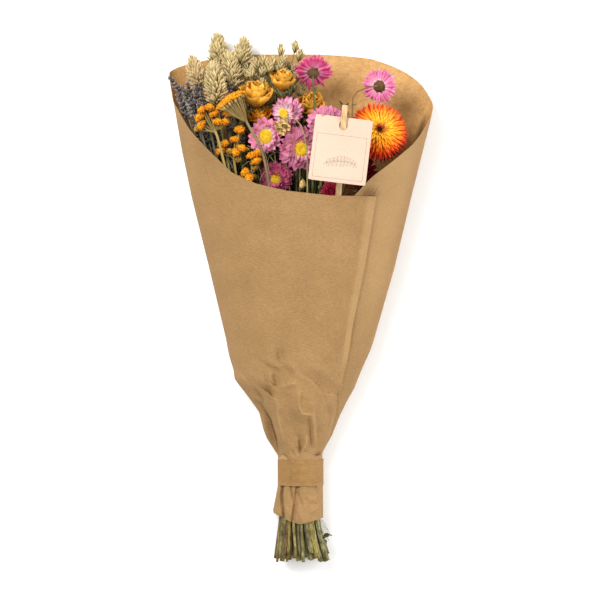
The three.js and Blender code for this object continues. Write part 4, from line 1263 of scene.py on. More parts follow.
# Layers of a daisy's papery petals: share of the size, count, lift, curl and height
OPEN_DAISY = [(1.0, 17, 4, 20, 0.0), (0.93, 16, 14, 22, 0.9), (0.8, 14, 26, 26, 1.8)]
FULL_DAISY = [
    (1.0, 22, -8, 24, 0.0), (0.97, 22, 4, 26, 0.8), (0.86, 18, 16, 30, 1.6), (0.7, 14, 30, 34, 2.4),
]
SPIKY_DAISY = [
    (1.0, 30, -8, 24, 0.0), (0.98, 28, 2, 28, 0.8), (0.9, 24, 14, 32, 1.6), (0.76, 20, 28, 36, 2.4),
]
SIDE_DAISY = [(1.0, 24, -22, 12, 0.0), (0.96, 22, -10, 14, 0.9), (0.84, 18, 4, 20, 1.8)]
# Each daisy's layers, how much larger it is than its solid, and how broad its petals are
DAISY_LOOKS = [
    (OPEN_DAISY, 1.06, 1.3), (FULL_DAISY, 1.2, 1.18), (SIDE_DAISY, 1.38, 1.18), (FULL_DAISY, 1.08, 1.18),
    (SPIKY_DAISY, 1.08, 0.72), (SPIKY_DAISY, 1.12, 0.72), (FULL_DAISY, 1.22, 1.18),
]
# Daisies that stand a little off their solids
DAISY_SHIFTS = {2: Vector((-0.8, -3.8, 2)), 6: Vector((0.5, -3.8, -1))}
DAISY_FACINGS = {2: Vector((-0.62, -0.2, 0.74))}
# Daisies that show their backs, with how slim their stems are and the stems' material
BACK_TURNED = {4: (0.75, 0), 5: (0.55, 2)}


def add_daisy_petals(cluster, middle, facing, size, look, draw, kind):
    layers, fullness, breadth = look
    cluster.add_core((size * 0.4, size * 0.4, 1.3), 1.4, middle, facing, 0.5, kind, 0.1)
    for share, count, lift, curl, height in layers:
        share *= fullness
        for step in range(count):
            swing = (step + draw.uniform(-0.25, 0.25)) * 360 / count + height * 40
            length = size * share * draw.uniform(0.82, 1.0) - size * 0.1
            width = size * breadth * draw.uniform(0.22, 0.34)
            petal = bent(
                PETAL_BLADE, length, width, lift + draw.uniform(-10, 10), curl + draw.uniform(-16, 16),
                0.16, PETAL, draw.uniform(0.1, 0.7), 0.3, draw.uniform(0, 6),
            )
            petal = swung(petal + (0, size * 0.1, height + 0.3), swing)
            cluster.add(PETAL_BLADE, put(petal, middle, facing), draw.random(), kind)


def add_daisy_disc(cluster, seat, facing, radius, draw):
    """A low dome of florets with a small dip in its middle. The outer ones are longer."""
    core = (radius * 0.93, radius * 0.93, radius * 0.42)
    cluster.add_core(core, radius * 0.1, seat, facing, 0.2, 0, 0.1)
    florets = 150
    thick = radius * 0.075
    for step in range(florets):
        share = (step + 0.5) / florets
        dome = radius * (0.58 - 0.5 * share ** 1.6) - radius * 0.16 * max(0, 1 - share * 7)
        out = Vector((*spiral_spot(step, radius * 0.97 * math.sqrt(share)), dome))
        lean = unit((out.x, out.y, radius * 1.3))
        floret = SMALL_BEAD.place * (thick, thick, thick * (1.4 + 1.3 * share * draw.random()))
        spots = put(put(floret, out, lean), seat, facing)
        cluster.add(SMALL_BEAD, spots, draw.random(), 0, np.full(len(spots), 0.25 + 0.75 * share))


def build_daisies(stems, petal_materials, disc_materials, leaf_materials):
    """Everlasting daisies: layers of narrow papery petals round a yellow disc of florets."""
    for place, (middle, facing, size, *_) in enumerate(DAISIES):
        draw = random.Random(500 + place)
        name = f"daisy_{place + 1}"
        facing = unit(DAISY_FACINGS.get(place, facing))
        middle = Vector(middle) + DAISY_SHIFTS.get(place, Vector())
        cluster = Cluster()
        add_daisy_petals(cluster, middle, facing, size, DAISY_LOOKS[place], draw, place)
        cluster.finish(f"daisy_petals_{place + 1}", petal_materials, "pink_petals", f"{name}_petals")
        seat = middle + facing * (2.9 + size * 0.064 + CALYX_GAP)
        cluster = Cluster()
        add_daisy_disc(cluster, seat, facing, size * 0.4, draw)
        cluster.finish(f"daisy_florets_{place + 1}", disc_materials, "daisy_discs", f"{name}_disc")
        stem = stems[f"{name}_stem"]
        cluster = Cluster()
        if place in BACK_TURNED:
            slim, kind = BACK_TURNED[place]
            add_stem(cluster, stem, kind, slim=slim)
            add_calyx(cluster, stem, 4.4, size * 0.3, 16, draw, 2)
            add_calyx(cluster, stem, 5.0, size * 0.42, 14, draw, 2)
        else:
            add_stem(cluster, stem, 0)
            add_calyx(cluster, stem, 3.2, size * 0.36, 12, draw)
        add_leaves(cluster, stem, draw, 3, 8)
        cluster.finish(f"{name}_stem_green", leaf_materials, "stems", f"{name}_stem")


def add_bracts(cluster, middle, facing, size, layers, width, draw, kind):
    """Stiff papery bracts in layers, each with the tone of its layer."""
    for level, (base, length, lift, curl, height, count) in enumerate(layers):
        for step in range(count):
            swing = (step + draw.uniform(-0.3, 0.3)) * 360 / count + level * 19
            bract = bent(
                BRACT, size * length * draw.uniform(0.93, 1.05), width * draw.uniform(0.85, 1.15),
                lift + draw.uniform(-5, 5), curl + draw.uniform(-12, 12), 0.2, POINTED, 0.5,
            )
            bract = swung(bract + (0, size * base, height), swing)
            tone = min(1.0, max(0.0, level / (len(layers) - 1) + draw.uniform(-0.06, 0.06)))
            cluster.add(BRACT, put(bract, middle, facing), tone, kind)


# Layers of bracts, from the lowest to the inmost: base radius, length, lift, curl, height and count
FLAME_OUTER = [
    (0.30, 0.66, -34, 20, -2.2, 34), (0.32, 0.68, -20, 16, -0.8, 36), (0.34, 0.69, -8, 14, 0.6, 38),
    (0.36, 0.68, 4, 10, 2.0, 38), (0.38, 0.66, 16, 2, 3.4, 38), (0.38, 0.62, 27, -8, 4.8, 38),
]
FLAME_INNER = [
    (0.36, 0.62, 38, -22, 5.6, 38), (0.33, 0.60, 49, -40, 6.4, 36), (0.28, 0.56, 60, -60, 7.0, 34),
    (0.22, 0.50, 70, -78, 7.4, 30), (0.16, 0.42, 79, -84, 7.6, 26), (0.11, 0.34, 84, -76, 7.6, 20),
    (0.07, 0.24, 86, -50, 7.4, 14),
]
SMALL_RED = [
    (0.2, 0.8, -20, 26, 0.0, 16), (0.22, 0.82, -4, 22, 0.7, 17), (0.22, 0.8, 12, 20, 1.4, 17),
    (0.2, 0.72, 28, 24, 2.1, 16), (0.16, 0.6, 44, 26, 2.7, 14), (0.11, 0.46, 60, 30, 3.2, 11),
    (0.05, 0.34, 74, 26, 3.5, 7),
]
HEART_FLORETS = 40
# How much larger each small strawflower is than its solid, and how far it is moved
RED_GROWTH = {"dark_red": (1.28, (-0.5, -4, 0)), "crimson": (1.1, (1, -2, 0))}


def add_flame_heart(cluster, middle, facing, size, draw):
    """The inner bracts of the large strawflower, which close over a tuft of brown florets."""
    cluster.add_core((size * 0.3, size * 0.3, 3.2), 6.4, middle, facing, 0.4, 1)
    add_bracts(cluster, middle, facing, size, FLAME_INNER, 2.5, draw, 0)
    for step in range(HEART_FLORETS):
        reach = 2.4 * math.sqrt((step + 0.5) / HEART_FLORETS)
        spot = Vector((*spiral_spot(step, reach), 9.4))
        floret = put(SMALL_BEAD.place * (0.35, 0.35, 1.5), spot, spot + Vector((0, 0, -2)))
        cluster.add(SMALL_BEAD, put(floret, middle, facing), draw.random(), 1)


def build_strawflowers(stems, bract_materials, heart_materials, leaf_materials):
    """One large strawflower, orange to yellow inwards, and a dark red and a crimson small one."""
    for place, (kind, middle, facing, size, *_) in enumerate(STRAWFLOWERS):
        draw = random.Random(600 + place)
        name = f"strawflower_{kind}"
        facing = unit(facing)
        middle = Vector(middle)
        cluster = Cluster()
        if kind == "flame":
            cluster.add_core((size * 0.46, size * 0.46, 2.6), 2.2, middle, facing, 0.1)
            add_bracts(cluster, middle, facing, size, FLAME_OUTER, 3.0, draw, 0)
            cluster.finish(f"{name}_outer", bract_materials, "flame_bracts", f"{name}_bracts")
            cluster = Cluster()
            add_flame_heart(cluster, middle, facing, size, draw)
            cluster.finish(f"{name}_inner", heart_materials, "amber_bracts", f"{name}_heart")
        else:
            cluster.add_core((size * 0.3, size * 0.3, 2.0), 1.6, middle, facing, 0.1, place, 0.4)
            growth, shift = RED_GROWTH[kind]
            middle += Vector(shift)
            add_bracts(cluster, middle, facing, size * growth, SMALL_RED, size * 0.26, draw, place)
            cluster.finish(f"{name}_layers", bract_materials, "red_bracts", f"{name}_bracts")
        stem = stems[f"{name}_stem"]
        cluster = Cluster()
        add_stem(cluster, stem, 0)
        add_calyx(cluster, stem, 5 if size > LARGE_BLOOM else 3.4, size * 0.35, 14, draw)
        add_leaves(cluster, stem, draw, 5, 13, 0.66, 0.92)
        cluster.finish(f"{name}_stem_green", leaf_materials, "stems", f"{name}_stem")


def add_ear(cluster, foot, facing, length, draw):
    """An oat-like ear: overlapping pale husks with fine points."""
    husks = 13
    for step in range(husks):
        share = step / (husks - 1)
        long = length * (0.62 - 0.2 * share) * draw.uniform(0.9, 1.1)
        husk = bent(SCALE, long, 2.7 - share, 52 + 20 * share, 30, 0.2, POINTED, 1.1)
        girth = 0.5 + 1.3 * math.sin(math.pi * (0.2 + share * 0.7))
        husk = swung(husk + (0, girth, length * 0.55 * share), step * GOLDEN_DEGREES)
        cluster.add(SCALE, put(husk * (1, 0.85, 1), foot, facing), draw.random())


def build_oats(stems, materials):
    for place, ears in enumerate(EARS):
        draw = random.Random(700 + place)
        name = f"oat_spray_{place + 1}"
        stem = stems[name]
        cluster = Cluster()
        add_stem(cluster, stem, 1)
        root = stem["foot"] - stem["facing"] * 4
        for x, y, z, lean in ears:
            foot = Vector((x, y, z))
            facing = unit((math.sin(lean), 1, 0))
            add_twig(cluster, [root, root.lerp(foot, 0.6), foot + facing * 3], 0.7, draw.random(), 1)
            add_ear(cluster, foot, facing, 13, draw)
            if place == 0:
                for aside in (-1, 1):
                    x, y = aside * draw.uniform(2.5, 4.5), -draw.uniform(3, 9)
                    side = foot + Vector((x, y, draw.uniform(-4, 3)))
                    aim = unit(facing + Vector((aside * 0.35, 0, 0.1)))
                    add_ear(cluster, side, aim, draw.uniform(9, 11), draw)
                    add_twig(cluster, [root, (root + side) / 2, side + aim * 2], 0.5, draw.random(), 1)
        cluster.finish(f"{name}_ears", materials, "oats", name)


def build_pods(stems, materials):
    """A fine arched stem that ends in papery two-lobed seed pods."""
    draw = random.Random(760)
    stem = stems["pod_spray"]
    cluster = Cluster()
    spots = stalk(STEM_ROD, stem["route"], [(0, 1.0), (0.7, 0.85), (0.86, 0.5), (1, 0.4)], 0.05, 5)
    cluster.add_rod(STEM_ROD, spots, 0.5, 1)
    for spot in (*PODS, LOW_POD):
        middle = Vector(spot)
        root = Vector(stem["route"][-2])
        if spot is LOW_POD:
            root = Vector(min(stem["route"], key=lambda place: (Vector(place) - middle).length))
        add_twig(cluster, [root, (root + middle) / 2 + Vector((0, 0, 0.8)), middle], 0.4, 0.5, 1)
        facing = unit(middle - root)
        for lobe in range(5):
            pod = bent(WIDE_BLADE, 7.4, 6.2, 12 + draw.uniform(-12, 12), 46, 0.16, ROUND, 0.5, 0.5, lobe)
            pod = swung(pod + (0, 0.2, -3.4), lobe * 72 + draw.uniform(-10, 10)) * (0.8, 0.8, 1)
            cluster.add(WIDE_BLADE, put(pod, middle, facing + UP * 0.5), draw.random())
    cluster.finish("pod_spray_pods", materials, "pods", "pod_spray")


def mouth_level(x, y):
    """How high the bouquet's packed foliage stands, seen from above."""
    back = smooth(150, 215, y)
    side = smooth(40, 100, abs(x + 12))
    return 50 - 26 * back - 14 * side - 10 * smooth(120, 70, y)


def build_sprigs(name, count, span, reach, seed, materials):
    """Leafy sprigs over a part of the mouth, but for its far corners, where bare paper shows. Their darker
    stalk and leaf tones are painted shade deep in the mouth.
    """
    draw = random.Random(seed)
    cluster = Cluster()
    for _ in range(count):
        x = draw.uniform(*span)
        y = draw.uniform(*reach)
        if y > 165 and not -70 <= x <= 5:
            continue
        z = mouth_level(x, y) - draw.uniform(8, 26)
        lean = unit((x * 0.0035 + draw.uniform(-0.2, 0.2), 1, draw.uniform(0.0, 0.35)))
        foot = Vector((x * 0.45, y - 95, 14 + z * 0.25))
        tip = Vector((x, y, z))
        route = [foot, foot.lerp(tip, 0.55) + Vector((0, 0, 2)), tip]
        add_twig(cluster, route, draw.uniform(0.45, 0.8), draw.random(), 0, 0.5)
        for _ in range(draw.randint(5, 9)):
            share = draw.uniform(0.55, 1.0)
            spot = foot.lerp(tip, share) + Vector((0, 0, 2 * (1 - share)))
            size = draw.uniform(4.5, 8.5)
            blade = bent(
                SCALE, size, size * draw.uniform(0.2, 0.42), draw.uniform(20, 65), draw.uniform(-30, 50),
                0.15, LEAF, draw.uniform(0.3, 1.0),
            )
            blade = put(swung(blade, draw.uniform(0, 360)), spot, lean)
            cluster.add(SCALE, blade, draw.random(), 1 if draw.random() < 0.8 else 2)
    cluster.finish(name, materials, "stems")


def build_wiry_twigs(materials):
    """Thin pale twigs that curl in front of the lower flowers."""
    draw = random.Random(870)
    cluster = Cluster()
    for _ in range(14):
        x = draw.uniform(-62, 2)
        y = draw.uniform(96, 126)
        z = mouth_level(x, y) + draw.uniform(-2, 9)
        spots = [Vector((x * 0.7, y - 34, z - 16)), Vector((x * 0.9, y - 14, z - 4)), Vector((x, y, z))]
        for _ in range(draw.randint(1, 3)):
            step = Vector((draw.uniform(-7, 7), draw.uniform(-1, 7), draw.uniform(-1.5, 1.5)))
            spots.append(spots[-1] + step)
        add_twig(cluster, spots, draw.uniform(0.35, 0.6), draw.random(), 0, 0.5)
    cluster.finish("wiry_twigs", materials, "stems")


def build_meadow_grass(materials):
    """Loose grass ears behind the roses and along the back edge."""
    draw = random.Random(840)
    cluster = Cluster()
    for _ in range(46):
        x = draw.uniform(-46, 4)
        y = draw.uniform(165, 192) + 4 * (1 - abs(x + 20) / 26)
        z = draw.uniform(12, 34)
        facing = unit((0.012 * (x + 18) + draw.uniform(-0.25, 0.25), 1, draw.uniform(0, 0.3)))
        foot = Vector((x * 0.8, y - 40, z - 4))
        spot = Vector((x, y, z))
        middle = foot.lerp(spot, 0.6) + Vector((0, 0, 1))
        add_twig(cluster, [foot, middle, spot + facing], 0.45, draw.random(), 1)
        add_ear(cluster, spot, facing, draw.uniform(8, 12), draw)
    cluster.finish("meadow_grass", materials, "oats")


def filling_route(angle, size, neck_share, spread, draw):
    """From the cut end of a filling stalk through the skirt and the neck into the paper."""
    x, z = math.cos(angle), math.sin(angle)
    slant = 1.5 + 2.5 * x + draw.uniform(-1.6, 1.6)
    across = NECK_MIDDLE.x + x * 20 * spread + slant
    end = Vector((across, draw.uniform(-220, -211), 16 + z * 14.5 * spread))
    end.x = min(23.0, max(-19.8, end.x))
    end.z = max(size * 1.3, end.z + draw.uniform(-1, 1))
    neck = NECK_MIDDLE + Vector((x * 15.2 * neck_share, 8, z * 12 * neck_share))
    skirt = Vector((x * (17 - size) * spread - 0.6, -182, max(size + 1.5, 16 + z * 13 * spread)))
    far = Vector((x * 26, -82, 18 + z * 12))
    return smooth_route([end, skirt, neck, far], STEM_STEPS)


def add_hanging_bits(cluster, draw):
    """A few leaves and threads that hang out at the right of the cut ends."""
    for place, spot in enumerate(((20.5, -196, 16), (21.5, -201, 12), (19, -200, 22))):
        leaf = bent(SMALL_BLADE, 11, 7.5, -20, 60, 0.4, ROUND, 0.8, 0.8, place)
        cluster.add(SMALL_BLADE, put(leaf, spot, (0.35, -1, 0.0), place), 0.1, 4)
    for step in range(9):
        foot = Vector((19.5, -187 - step * 1.5, 22 + draw.uniform(-5, 5)))
        tip = foot + Vector((draw.uniform(2.5, 5.5), draw.uniform(-6, 2), draw.uniform(-2, 2)))
        bow = (foot + tip) / 2 + Vector((1.2, draw.uniform(-1, 1), 0))
        add_twig(cluster, [foot - Vector((3, -5, 1)), bow, tip], 0.2, 0.6, 2, 0.5)


# Two rings of filling stalks: count, and their shares of the neck's and of the skirt's width
FILLING_RINGS = ((31, 0.8, 1.0), (21, 0.6, 0.76))


def build_cut_stems(materials):
    """The cut ends that show below the skirt: stalks of the filling grasses, packed round the rest."""
    draw = random.Random(860)
    cluster = Cluster()
    for count, neck_share, spread in FILLING_RINGS:
        for step in range(count):
            angle = math.radians(step * 360 / count + draw.uniform(-4, 4))
            size = draw.choice((1.1, 1.35, 1.6, 1.6, 2.1))
            route = filling_route(angle, size, neck_share, spread, draw)
            ribs = draw.choice((0.06, 0.1, 0.16))
            table = [(0, size * 1.05), (0.25, size), (0.5, size * 0.78), (1, size * 0.6)]
            stem = stalk(FILLING_ROD, route, table, ribs, draw.choice((4, 5)), 0.07, step)
            kind = draw.choice((0, 0, 1, 1, 1, 2, 3))
            cluster.add_rod(FILLING_ROD, stem, draw.random(), kind)
    add_hanging_bits(cluster, draw)
    cluster.finish("filling_stalks", materials, "stems")


# Card and stick

CARD_WIDTH = 47.5
CARD_HEIGHT = 54.5
CARD_THICKNESS = 0.45
CARD_LEAN = -6
CARD_TURN = -6.9
# Rings of points between the hole and the edge of the card, as shares of the way
CARD_RINGS = (0, 0.05, 0.14, 0.28, 0.46, 0.66, 0.85, 0.97, 1)
HOLE_SPOT = Vector((35.7, 143.4, 78.5))
HOLE_FROM_TOP = 6.8
HOLE_HALF_WIDTH = 3.4
HOLE_HALF_LENGTH = 3.9
INK_STEPS = 12
STICK_LEAN = 14
STICK_TURN = -4


def tipped(spots, lean, turn):
    """Leaned about X, then turned about Z, and set at the hole."""
    matrix = Matrix.Rotation(math.radians(turn), 3, "Z") @ Matrix.Rotation(math.radians(lean), 3, "X")
    return spots @ np.array(matrix).T + np.array(HOLE_SPOT)


def card_shape():
    """Rings that grow from the round hole to the card's square edge."""
    made = bmesh.new()
    bmesh.ops.create_circle(made, cap_ends=False, segments=96, radius=1)
    edges = made.edges[:]
    for ring in range(1, len(CARD_RINGS)):
        grown = bmesh.ops.extrude_edge_only(made, edges=edges)["geom"]
        edges = [item for item in grown if isinstance(item, bmesh.types.BMEdge)]
        for item in grown:
            if isinstance(item, bmesh.types.BMVert):
                item.co *= (ring + 1) / ring
    for vert in made.verts:
        angle = math.atan2(vert.co.y, vert.co.x)
        share = CARD_RINGS[round(vert.co.length) - 1]
        across, rise = math.cos(angle), math.sin(angle)
        stretch = max(abs(across), abs(rise))
        corner = 1 - 0.012 * max(0.0, 1 - abs(abs(across) - abs(rise)) * 12)
        outer = Vector((across, rise, 0)) / stretch * corner
        outer.x *= CARD_WIDTH / 2
        outer.y = outer.y * CARD_HEIGHT / 2 + HOLE_FROM_TOP - CARD_HEIGHT / 2
        inner = Vector((HOLE_HALF_WIDTH * across, HOLE_HALF_LENGTH * rise, 0))
        vert.co = inner.lerp(outer, share)
        vert.co.z = card_bow(vert.co.x, vert.co.y)
    bmesh.ops.solidify(made, geom=made.faces[:], thickness=CARD_THICKNESS)
    high = max(vert.co.z - card_bow(vert.co.x, vert.co.y) for vert in made.verts)
    for vert in made.verts:
        vert.co.z += CARD_THICKNESS / 2 - high
    return Shape("card_sheet", made)


def card_bow(x, y):
    """The card's soft bow, which lifts its lower corners."""
    return 0.5 * (x / 24) ** 2 * smooth(8, 44, -y)


def ink_line(cluster, spots, width):
    """A printed line, 0.03 mm thick, that follows the card's bow."""
    route = smooth_route([(x, y, 0) for x, y in spots], INK_STEPS)
    route[:, 2] = [card_bow(x, y) + CARD_THICKNESS / 2 + 0.01 for x, y, _ in route]
    line = stalk(TWIG_ROD, route, width)
    level = np.rint(TWIG_ROD.place[:, 2] * INK_STEPS).astype(int)
    line[:, 2] = route[level, 2] + (line[:, 2] - route[level, 2]) * 0.12
    cluster.add(TWIG_ROD, tipped(line, CARD_LEAN, CARD_TURN), 0.5, 1)


def draw_fern(cluster):
    """A rib with pairs of leaves, each drawn as two lines that meet in its tip."""
    rib = [(-13, -33.5), (-4, -30.6), (6, -29.6), (14, -31)]
    ink_line(cluster, rib, 0.16)
    for step in range(9):
        x = -10.5 + step * 2.9
        y = -33 + 3.4 * math.sin(math.pi * (step + 1.2) / 11)
        long = 5.6 - abs(step - 3.2) * 0.55
        for side in (-1, 1):
            tip = (x + long * 0.62, y + side * long * 0.85)
            for along_share, across_share in ((0.15, 0.5), (0.55, 0.35)):
                knee = (x + long * along_share, y + side * long * across_share)
                ink_line(cluster, [(x, y), knee, tip], 0.13)


def build_card(materials):
    """The cream card, with a thin frame line and a lying fern drawn low on it."""
    sheet = card_shape()
    cluster = Cluster()
    cluster.add(sheet, tipped(sheet.place, CARD_LEAN, CARD_TURN), 0.5)
    left, right, top, bottom = -20.6, 20.6, -8.5, -44.6
    corners = [(left, top), (right, top), (right, bottom), (left, bottom), (left, top)]
    for (x0, y0), (x1, y1) in zip(corners, corners[1:]):
        ink_line(cluster, [(x0, y0), ((x0 + x1) / 2, (y0 + y1) / 2), (x1, y1)], 0.14)
    draw_fern(cluster)
    cluster.finish("cream_card", materials, "card", "card")


def build_stick(materials):
    """A flat wooden stick with a blunt rounded top and slightly worn edges."""
    above, below, half, thick = 17.0, 120.0, 2.5, 1.0
    made = bmesh.new()
    bmesh.ops.create_cube(made, size=1)
    upright = [edge for edge in made.edges if abs(edge.verts[0].co.y - edge.verts[1].co.y) > 0.5]
    bmesh.ops.subdivide_edges(made, edges=upright, cuts=47, use_grid_fill=True)
    for vert in made.verts:
        y = (vert.co.y - 0.5) * (above + below) + above
        vert.co = Vector((vert.co.x * 2 * half, y, vert.co.z * thick))
    bmesh.ops.bevel(
        made, geom=[e for e in made.edges if e.calc_face_angle(0) > 1], offset=0.16, segments=2,
        profile=0.5, affect="EDGES", material=-1,
    )
    for vert in made.verts:
        draw_in = 0.1 * smooth(above - 7, above, vert.co.y)
        vert.co.x = vert.co.x * (1 - draw_in) + 0.07 * math.sin(vert.co.y * 0.05)
        vert.co.z += 0.03 * math.sin(vert.co.y * 0.9 + vert.co.x)
    shape = Shape("stick", made)
    cluster = Cluster()
    cluster.add(shape, tipped(shape.place, STICK_LEAN, STICK_TURN), 0.5)
    cluster.finish("flat_stick", materials, "wood", "wooden_stick")


# Flower materials


def grained(name, stops, roughness, streak, variety=0.25, relief=0.0003, rim=None):
    """A dried plant skin: its tone runs along the piece, varies from copy to copy, and is streaked."""
    skin = Finish(name, roughness)
    lengthwise, across, pick = (skin.attribute(mark) for mark in ("along", "across", "pick"))
    patch = skin.noise(160, 4, 0.6)
    color = skin.ramp(skin.sum(lengthwise, skin.spread(patch), 0.12), stops)
    tone = skin.stretch(pick, 0, 1, 1 - variety, 1 + variety * 0.55)
    color = skin.tint(1.0, color, skin.grey(tone))
    veins = skin.noise(1.3, 3, 0.6, skin.packed(skin.times(across, 21.0), lengthwise, pick))
    color = skin.tint(streak, color, skin.ramp(veins, [(0.36, "#8f8f8f"), (0.56, "#ffffff")]))
    if rim:
        side = skin.add("ShaderNodeMath", {0: across}, operation="ABSOLUTE").outputs[0]
        color = skin.mix(skin.stretch(side, 0.55, 1.0, 0, 0.8), color, linear(rim))
    skin.color(color)
    skin.bump(skin.sum(veins, patch, 0.8), relief, 0.6)
    return skin.material


def stalk_finish(name, dark, middle, light):
    """Skin of a cut stalk: fine ribs lengthwise, broken by short slanted flecks and brown patches."""
    skin = Finish(name, 0.8)
    lengthwise, across, pick = (skin.attribute(mark) for mark in ("along", "across", "pick"))
    grain = skin.packed(skin.times(across, 9.0), skin.times(lengthwise, 14.0), pick)
    lines = skin.noise(1.0, 4, 0.7, grain)
    flecks = skin.noise(620, 3, 0.7, skin.moved((1, 0.4, 1), (0, 0, 0.6)))
    color = skin.ramp(skin.sum(flecks, lines, 0.8), [(0.62, dark), (0.86, middle), (1.0, light)])
    patches = skin.ramp(skin.noise(110, 3), [(0.36, "#8f7450"), (0.55, "#ffffff")])
    color = skin.tint(0.7, color, patches)
    skin.color(skin.tint(1.0, color, skin.grey(skin.stretch(pick, 0, 1, 0.7, 1.1))))
    skin.bump(skin.sum(flecks, lines, 0.8), 0.0006, 0.8)
    return skin.material


def flame_finish(name, body_stops, tip_stops):
    """Bracts of the large strawflower: the copy's layer sets its tone, from red below to yellow inside."""
    flame = Finish(name, 0.45)
    layer = flame.attribute("pick")
    body, tip = flame.ramp(layer, body_stops), flame.ramp(layer, tip_stops)
    share = flame.sum(flame.attribute("along"), flame.spread(flame.noise(300, 3)), 0.1)
    color = flame.mix(flame.stretch(share, 0.42, 0.88), body, tip)
    veins = flame.noise(500, 3, 0.6)
    flame.color(flame.tint(0.35, color, flame.ramp(veins, [(0.38, "#b0a090"), (0.6, "#ffffff")])))
    flame.bump(veins, 0.0002, 0.5)
    return flame.material


# Dried skins: tones along the piece, roughness, streaks, variety, relief and the tone of the rims
SKINS = {
    # The dark low end of the husk tones, at every husk's base and on the canary cores, is painted shade in
    # the heads
    "canary_husk": (
        [(0.0, "#453a1c"), (0.3, "#8a7844"), (0.62, "#c0a870"), (1.0, "#e4d0a0")],
        0.85, 0.55, 0.4, 0.0003, "#d3bc88",
    ),
    # The same painted shade at the husks' bases
    "peach_husk": (
        [(0.0, "#5e4a24"), (0.3, "#9c8250"), (0.62, "#caa874"), (1.0, "#e6c89c")],
        0.85, 0.5, 0.35, 0.0003, "#d8b686",
    ),
    "dry_stalk": ([(0.0, "#8d8450"), (0.5, "#9a9058"), (1.0, "#a99c66")], 0.75, 0.4),
    "lavender_calyx": (
        [(0.0, "#4f4832"), (0.3, "#5e5048"), (0.65, "#4a3f44"), (1.0, "#958c80")], 0.9, 0.5, 0.75,
    ),
    "grey_stalk": ([(0.0, "#7a7350"), (0.6, "#6b6650"), (1.0, "#77705c")], 0.85, 0.4),
    "lavender_petal": ([(0.0, "#75696c"), (1.0, "#a59a9f")], 0.85, 0.3),
    "golden_floret": ([(0.0, "#7a4206"), (0.45, "#cf7c08"), (1.0, "#efa20c")], 0.85, 0.25, 0.35),
    "faded_floret": ([(0.0, "#5d4518"), (0.5, "#967028"), (1.0, "#c29035")], 0.85, 0.3, 0.4),
    "button_cup": ([(0.0, "#6e6034"), (0.5, "#8f7c45"), (1.0, "#a5894c")], 0.85, 0.4, 0.4),
    "tan_cup": ([(0.0, "#8f7440"), (0.5, "#b7985a"), (1.0, "#cbb072")], 0.85, 0.3, 0.35),
    "grey_twig": ([(0.0, "#5e5240"), (0.45, "#574a3f"), (0.8, "#62523f"), (1.0, "#86714f")], 0.85, 0.5),
    "yellow_rose": (
        [(0.0, "#6f5420"), (0.3, "#a87520"), (0.7, "#d8901a"), (1.0, "#f2b440")],
        0.7, 0.5, 0.3, 0.0009, "#bd7410",
    ),
    "orange_rose": (
        [(0.0, "#7a4a10"), (0.35, "#cf720a"), (0.75, "#ee8a0c"), (1.0, "#f7a628")],
        0.7, 0.5, 0.3, 0.0009, "#b55f12",
    ),
    "green_stem": ([(0.0, "#8c8450"), (0.4, "#767240"), (1.0, "#6c6a3c")], 0.8, 0.45, 0.4),
    "dry_leaf": ([(0.0, "#5f6136"), (0.5, "#777646"), (1.0, "#8f8757")], 0.85, 0.45, 0.4),
    "brown_calyx": ([(0.0, "#4a3a20"), (0.5, "#63492a"), (1.0, "#8b6a42")], 0.85, 0.5, 0.45),
    # Darker copies of stalk and leaf: painted shade for foliage deep in the mouth; the hanging leaves use it
    # too
    "shaded_stalk": ([(0.0, "#4b4526"), (1.0, "#55502e")], 0.9, 0.4, 0.5),
    "shaded_leaf": ([(0.0, "#2e3018"), (0.5, "#3f4223"), (1.0, "#565534")], 0.9, 0.4, 0.5),
    "yellow_floret": ([(0.0, "#ecb41a"), (0.5, "#ffdc38"), (1.0, "#ffe860")], 0.8, 0.05, 0.15),
    "papery_pod": (
        [(0.0, "#a8823f"), (0.5, "#d2ab62"), (1.0, "#e6c888")], 0.7, 0.35, 0.25, 0.0003, "#b98f4c",
    ),
    "dark_red_bract": ([(0.0, "#3f0710"), (0.5, "#8e1420"), (1.0, "#b42230")], 0.55, 0.3, 0.35),
    "crimson_bract": ([(0.0, "#5a0a1c"), (0.5, "#b01c3c"), (1.0, "#d23a5c")], 0.55, 0.3, 0.35),
    "brown_heart": ([(0.0, "#3d1607"), (0.5, "#6e2a0c"), (1.0, "#a5531c")], 0.85, 0.3),
}
CUT_STALKS = {
    "olive_stalk": ("#463c1c", "#7a6c34", "#a08c4c"),
    "grey_green_stalk": ("#443f26", "#74704a", "#9c9668"),
    "pale_stalk": ("#5e5430", "#8f8050", "#b4a46c"),
    "brown_stalk": ("#352616", "#5e4a2a", "#8a7040"),
}
# Pink petals of each daisy, from the heart to the tip
PINKS = [
    ("#fffaf2", "#fdd9de", "#f4a0bb", "#e06c95"), ("#fdeaea", "#f5bccb", "#e58fab", "#c66188"),
    ("#fff0f0", "#f6cbd6", "#e8a0b8", "#c65f88"), ("#ffeceb", "#f5bccb", "#e693b0", "#cf6c92"),
    ("#cf96a8", "#d05a88", "#c83c70", "#e27c9c"), ("#f3c2d0", "#ea88aa", "#dc6396", "#eea0ba"),
    ("#f8ccd4", "#e07c9c", "#cc5880", "#aa3e62"),
]
PINK_PLACES = (0.18, 0.46, 0.76, 1.0)
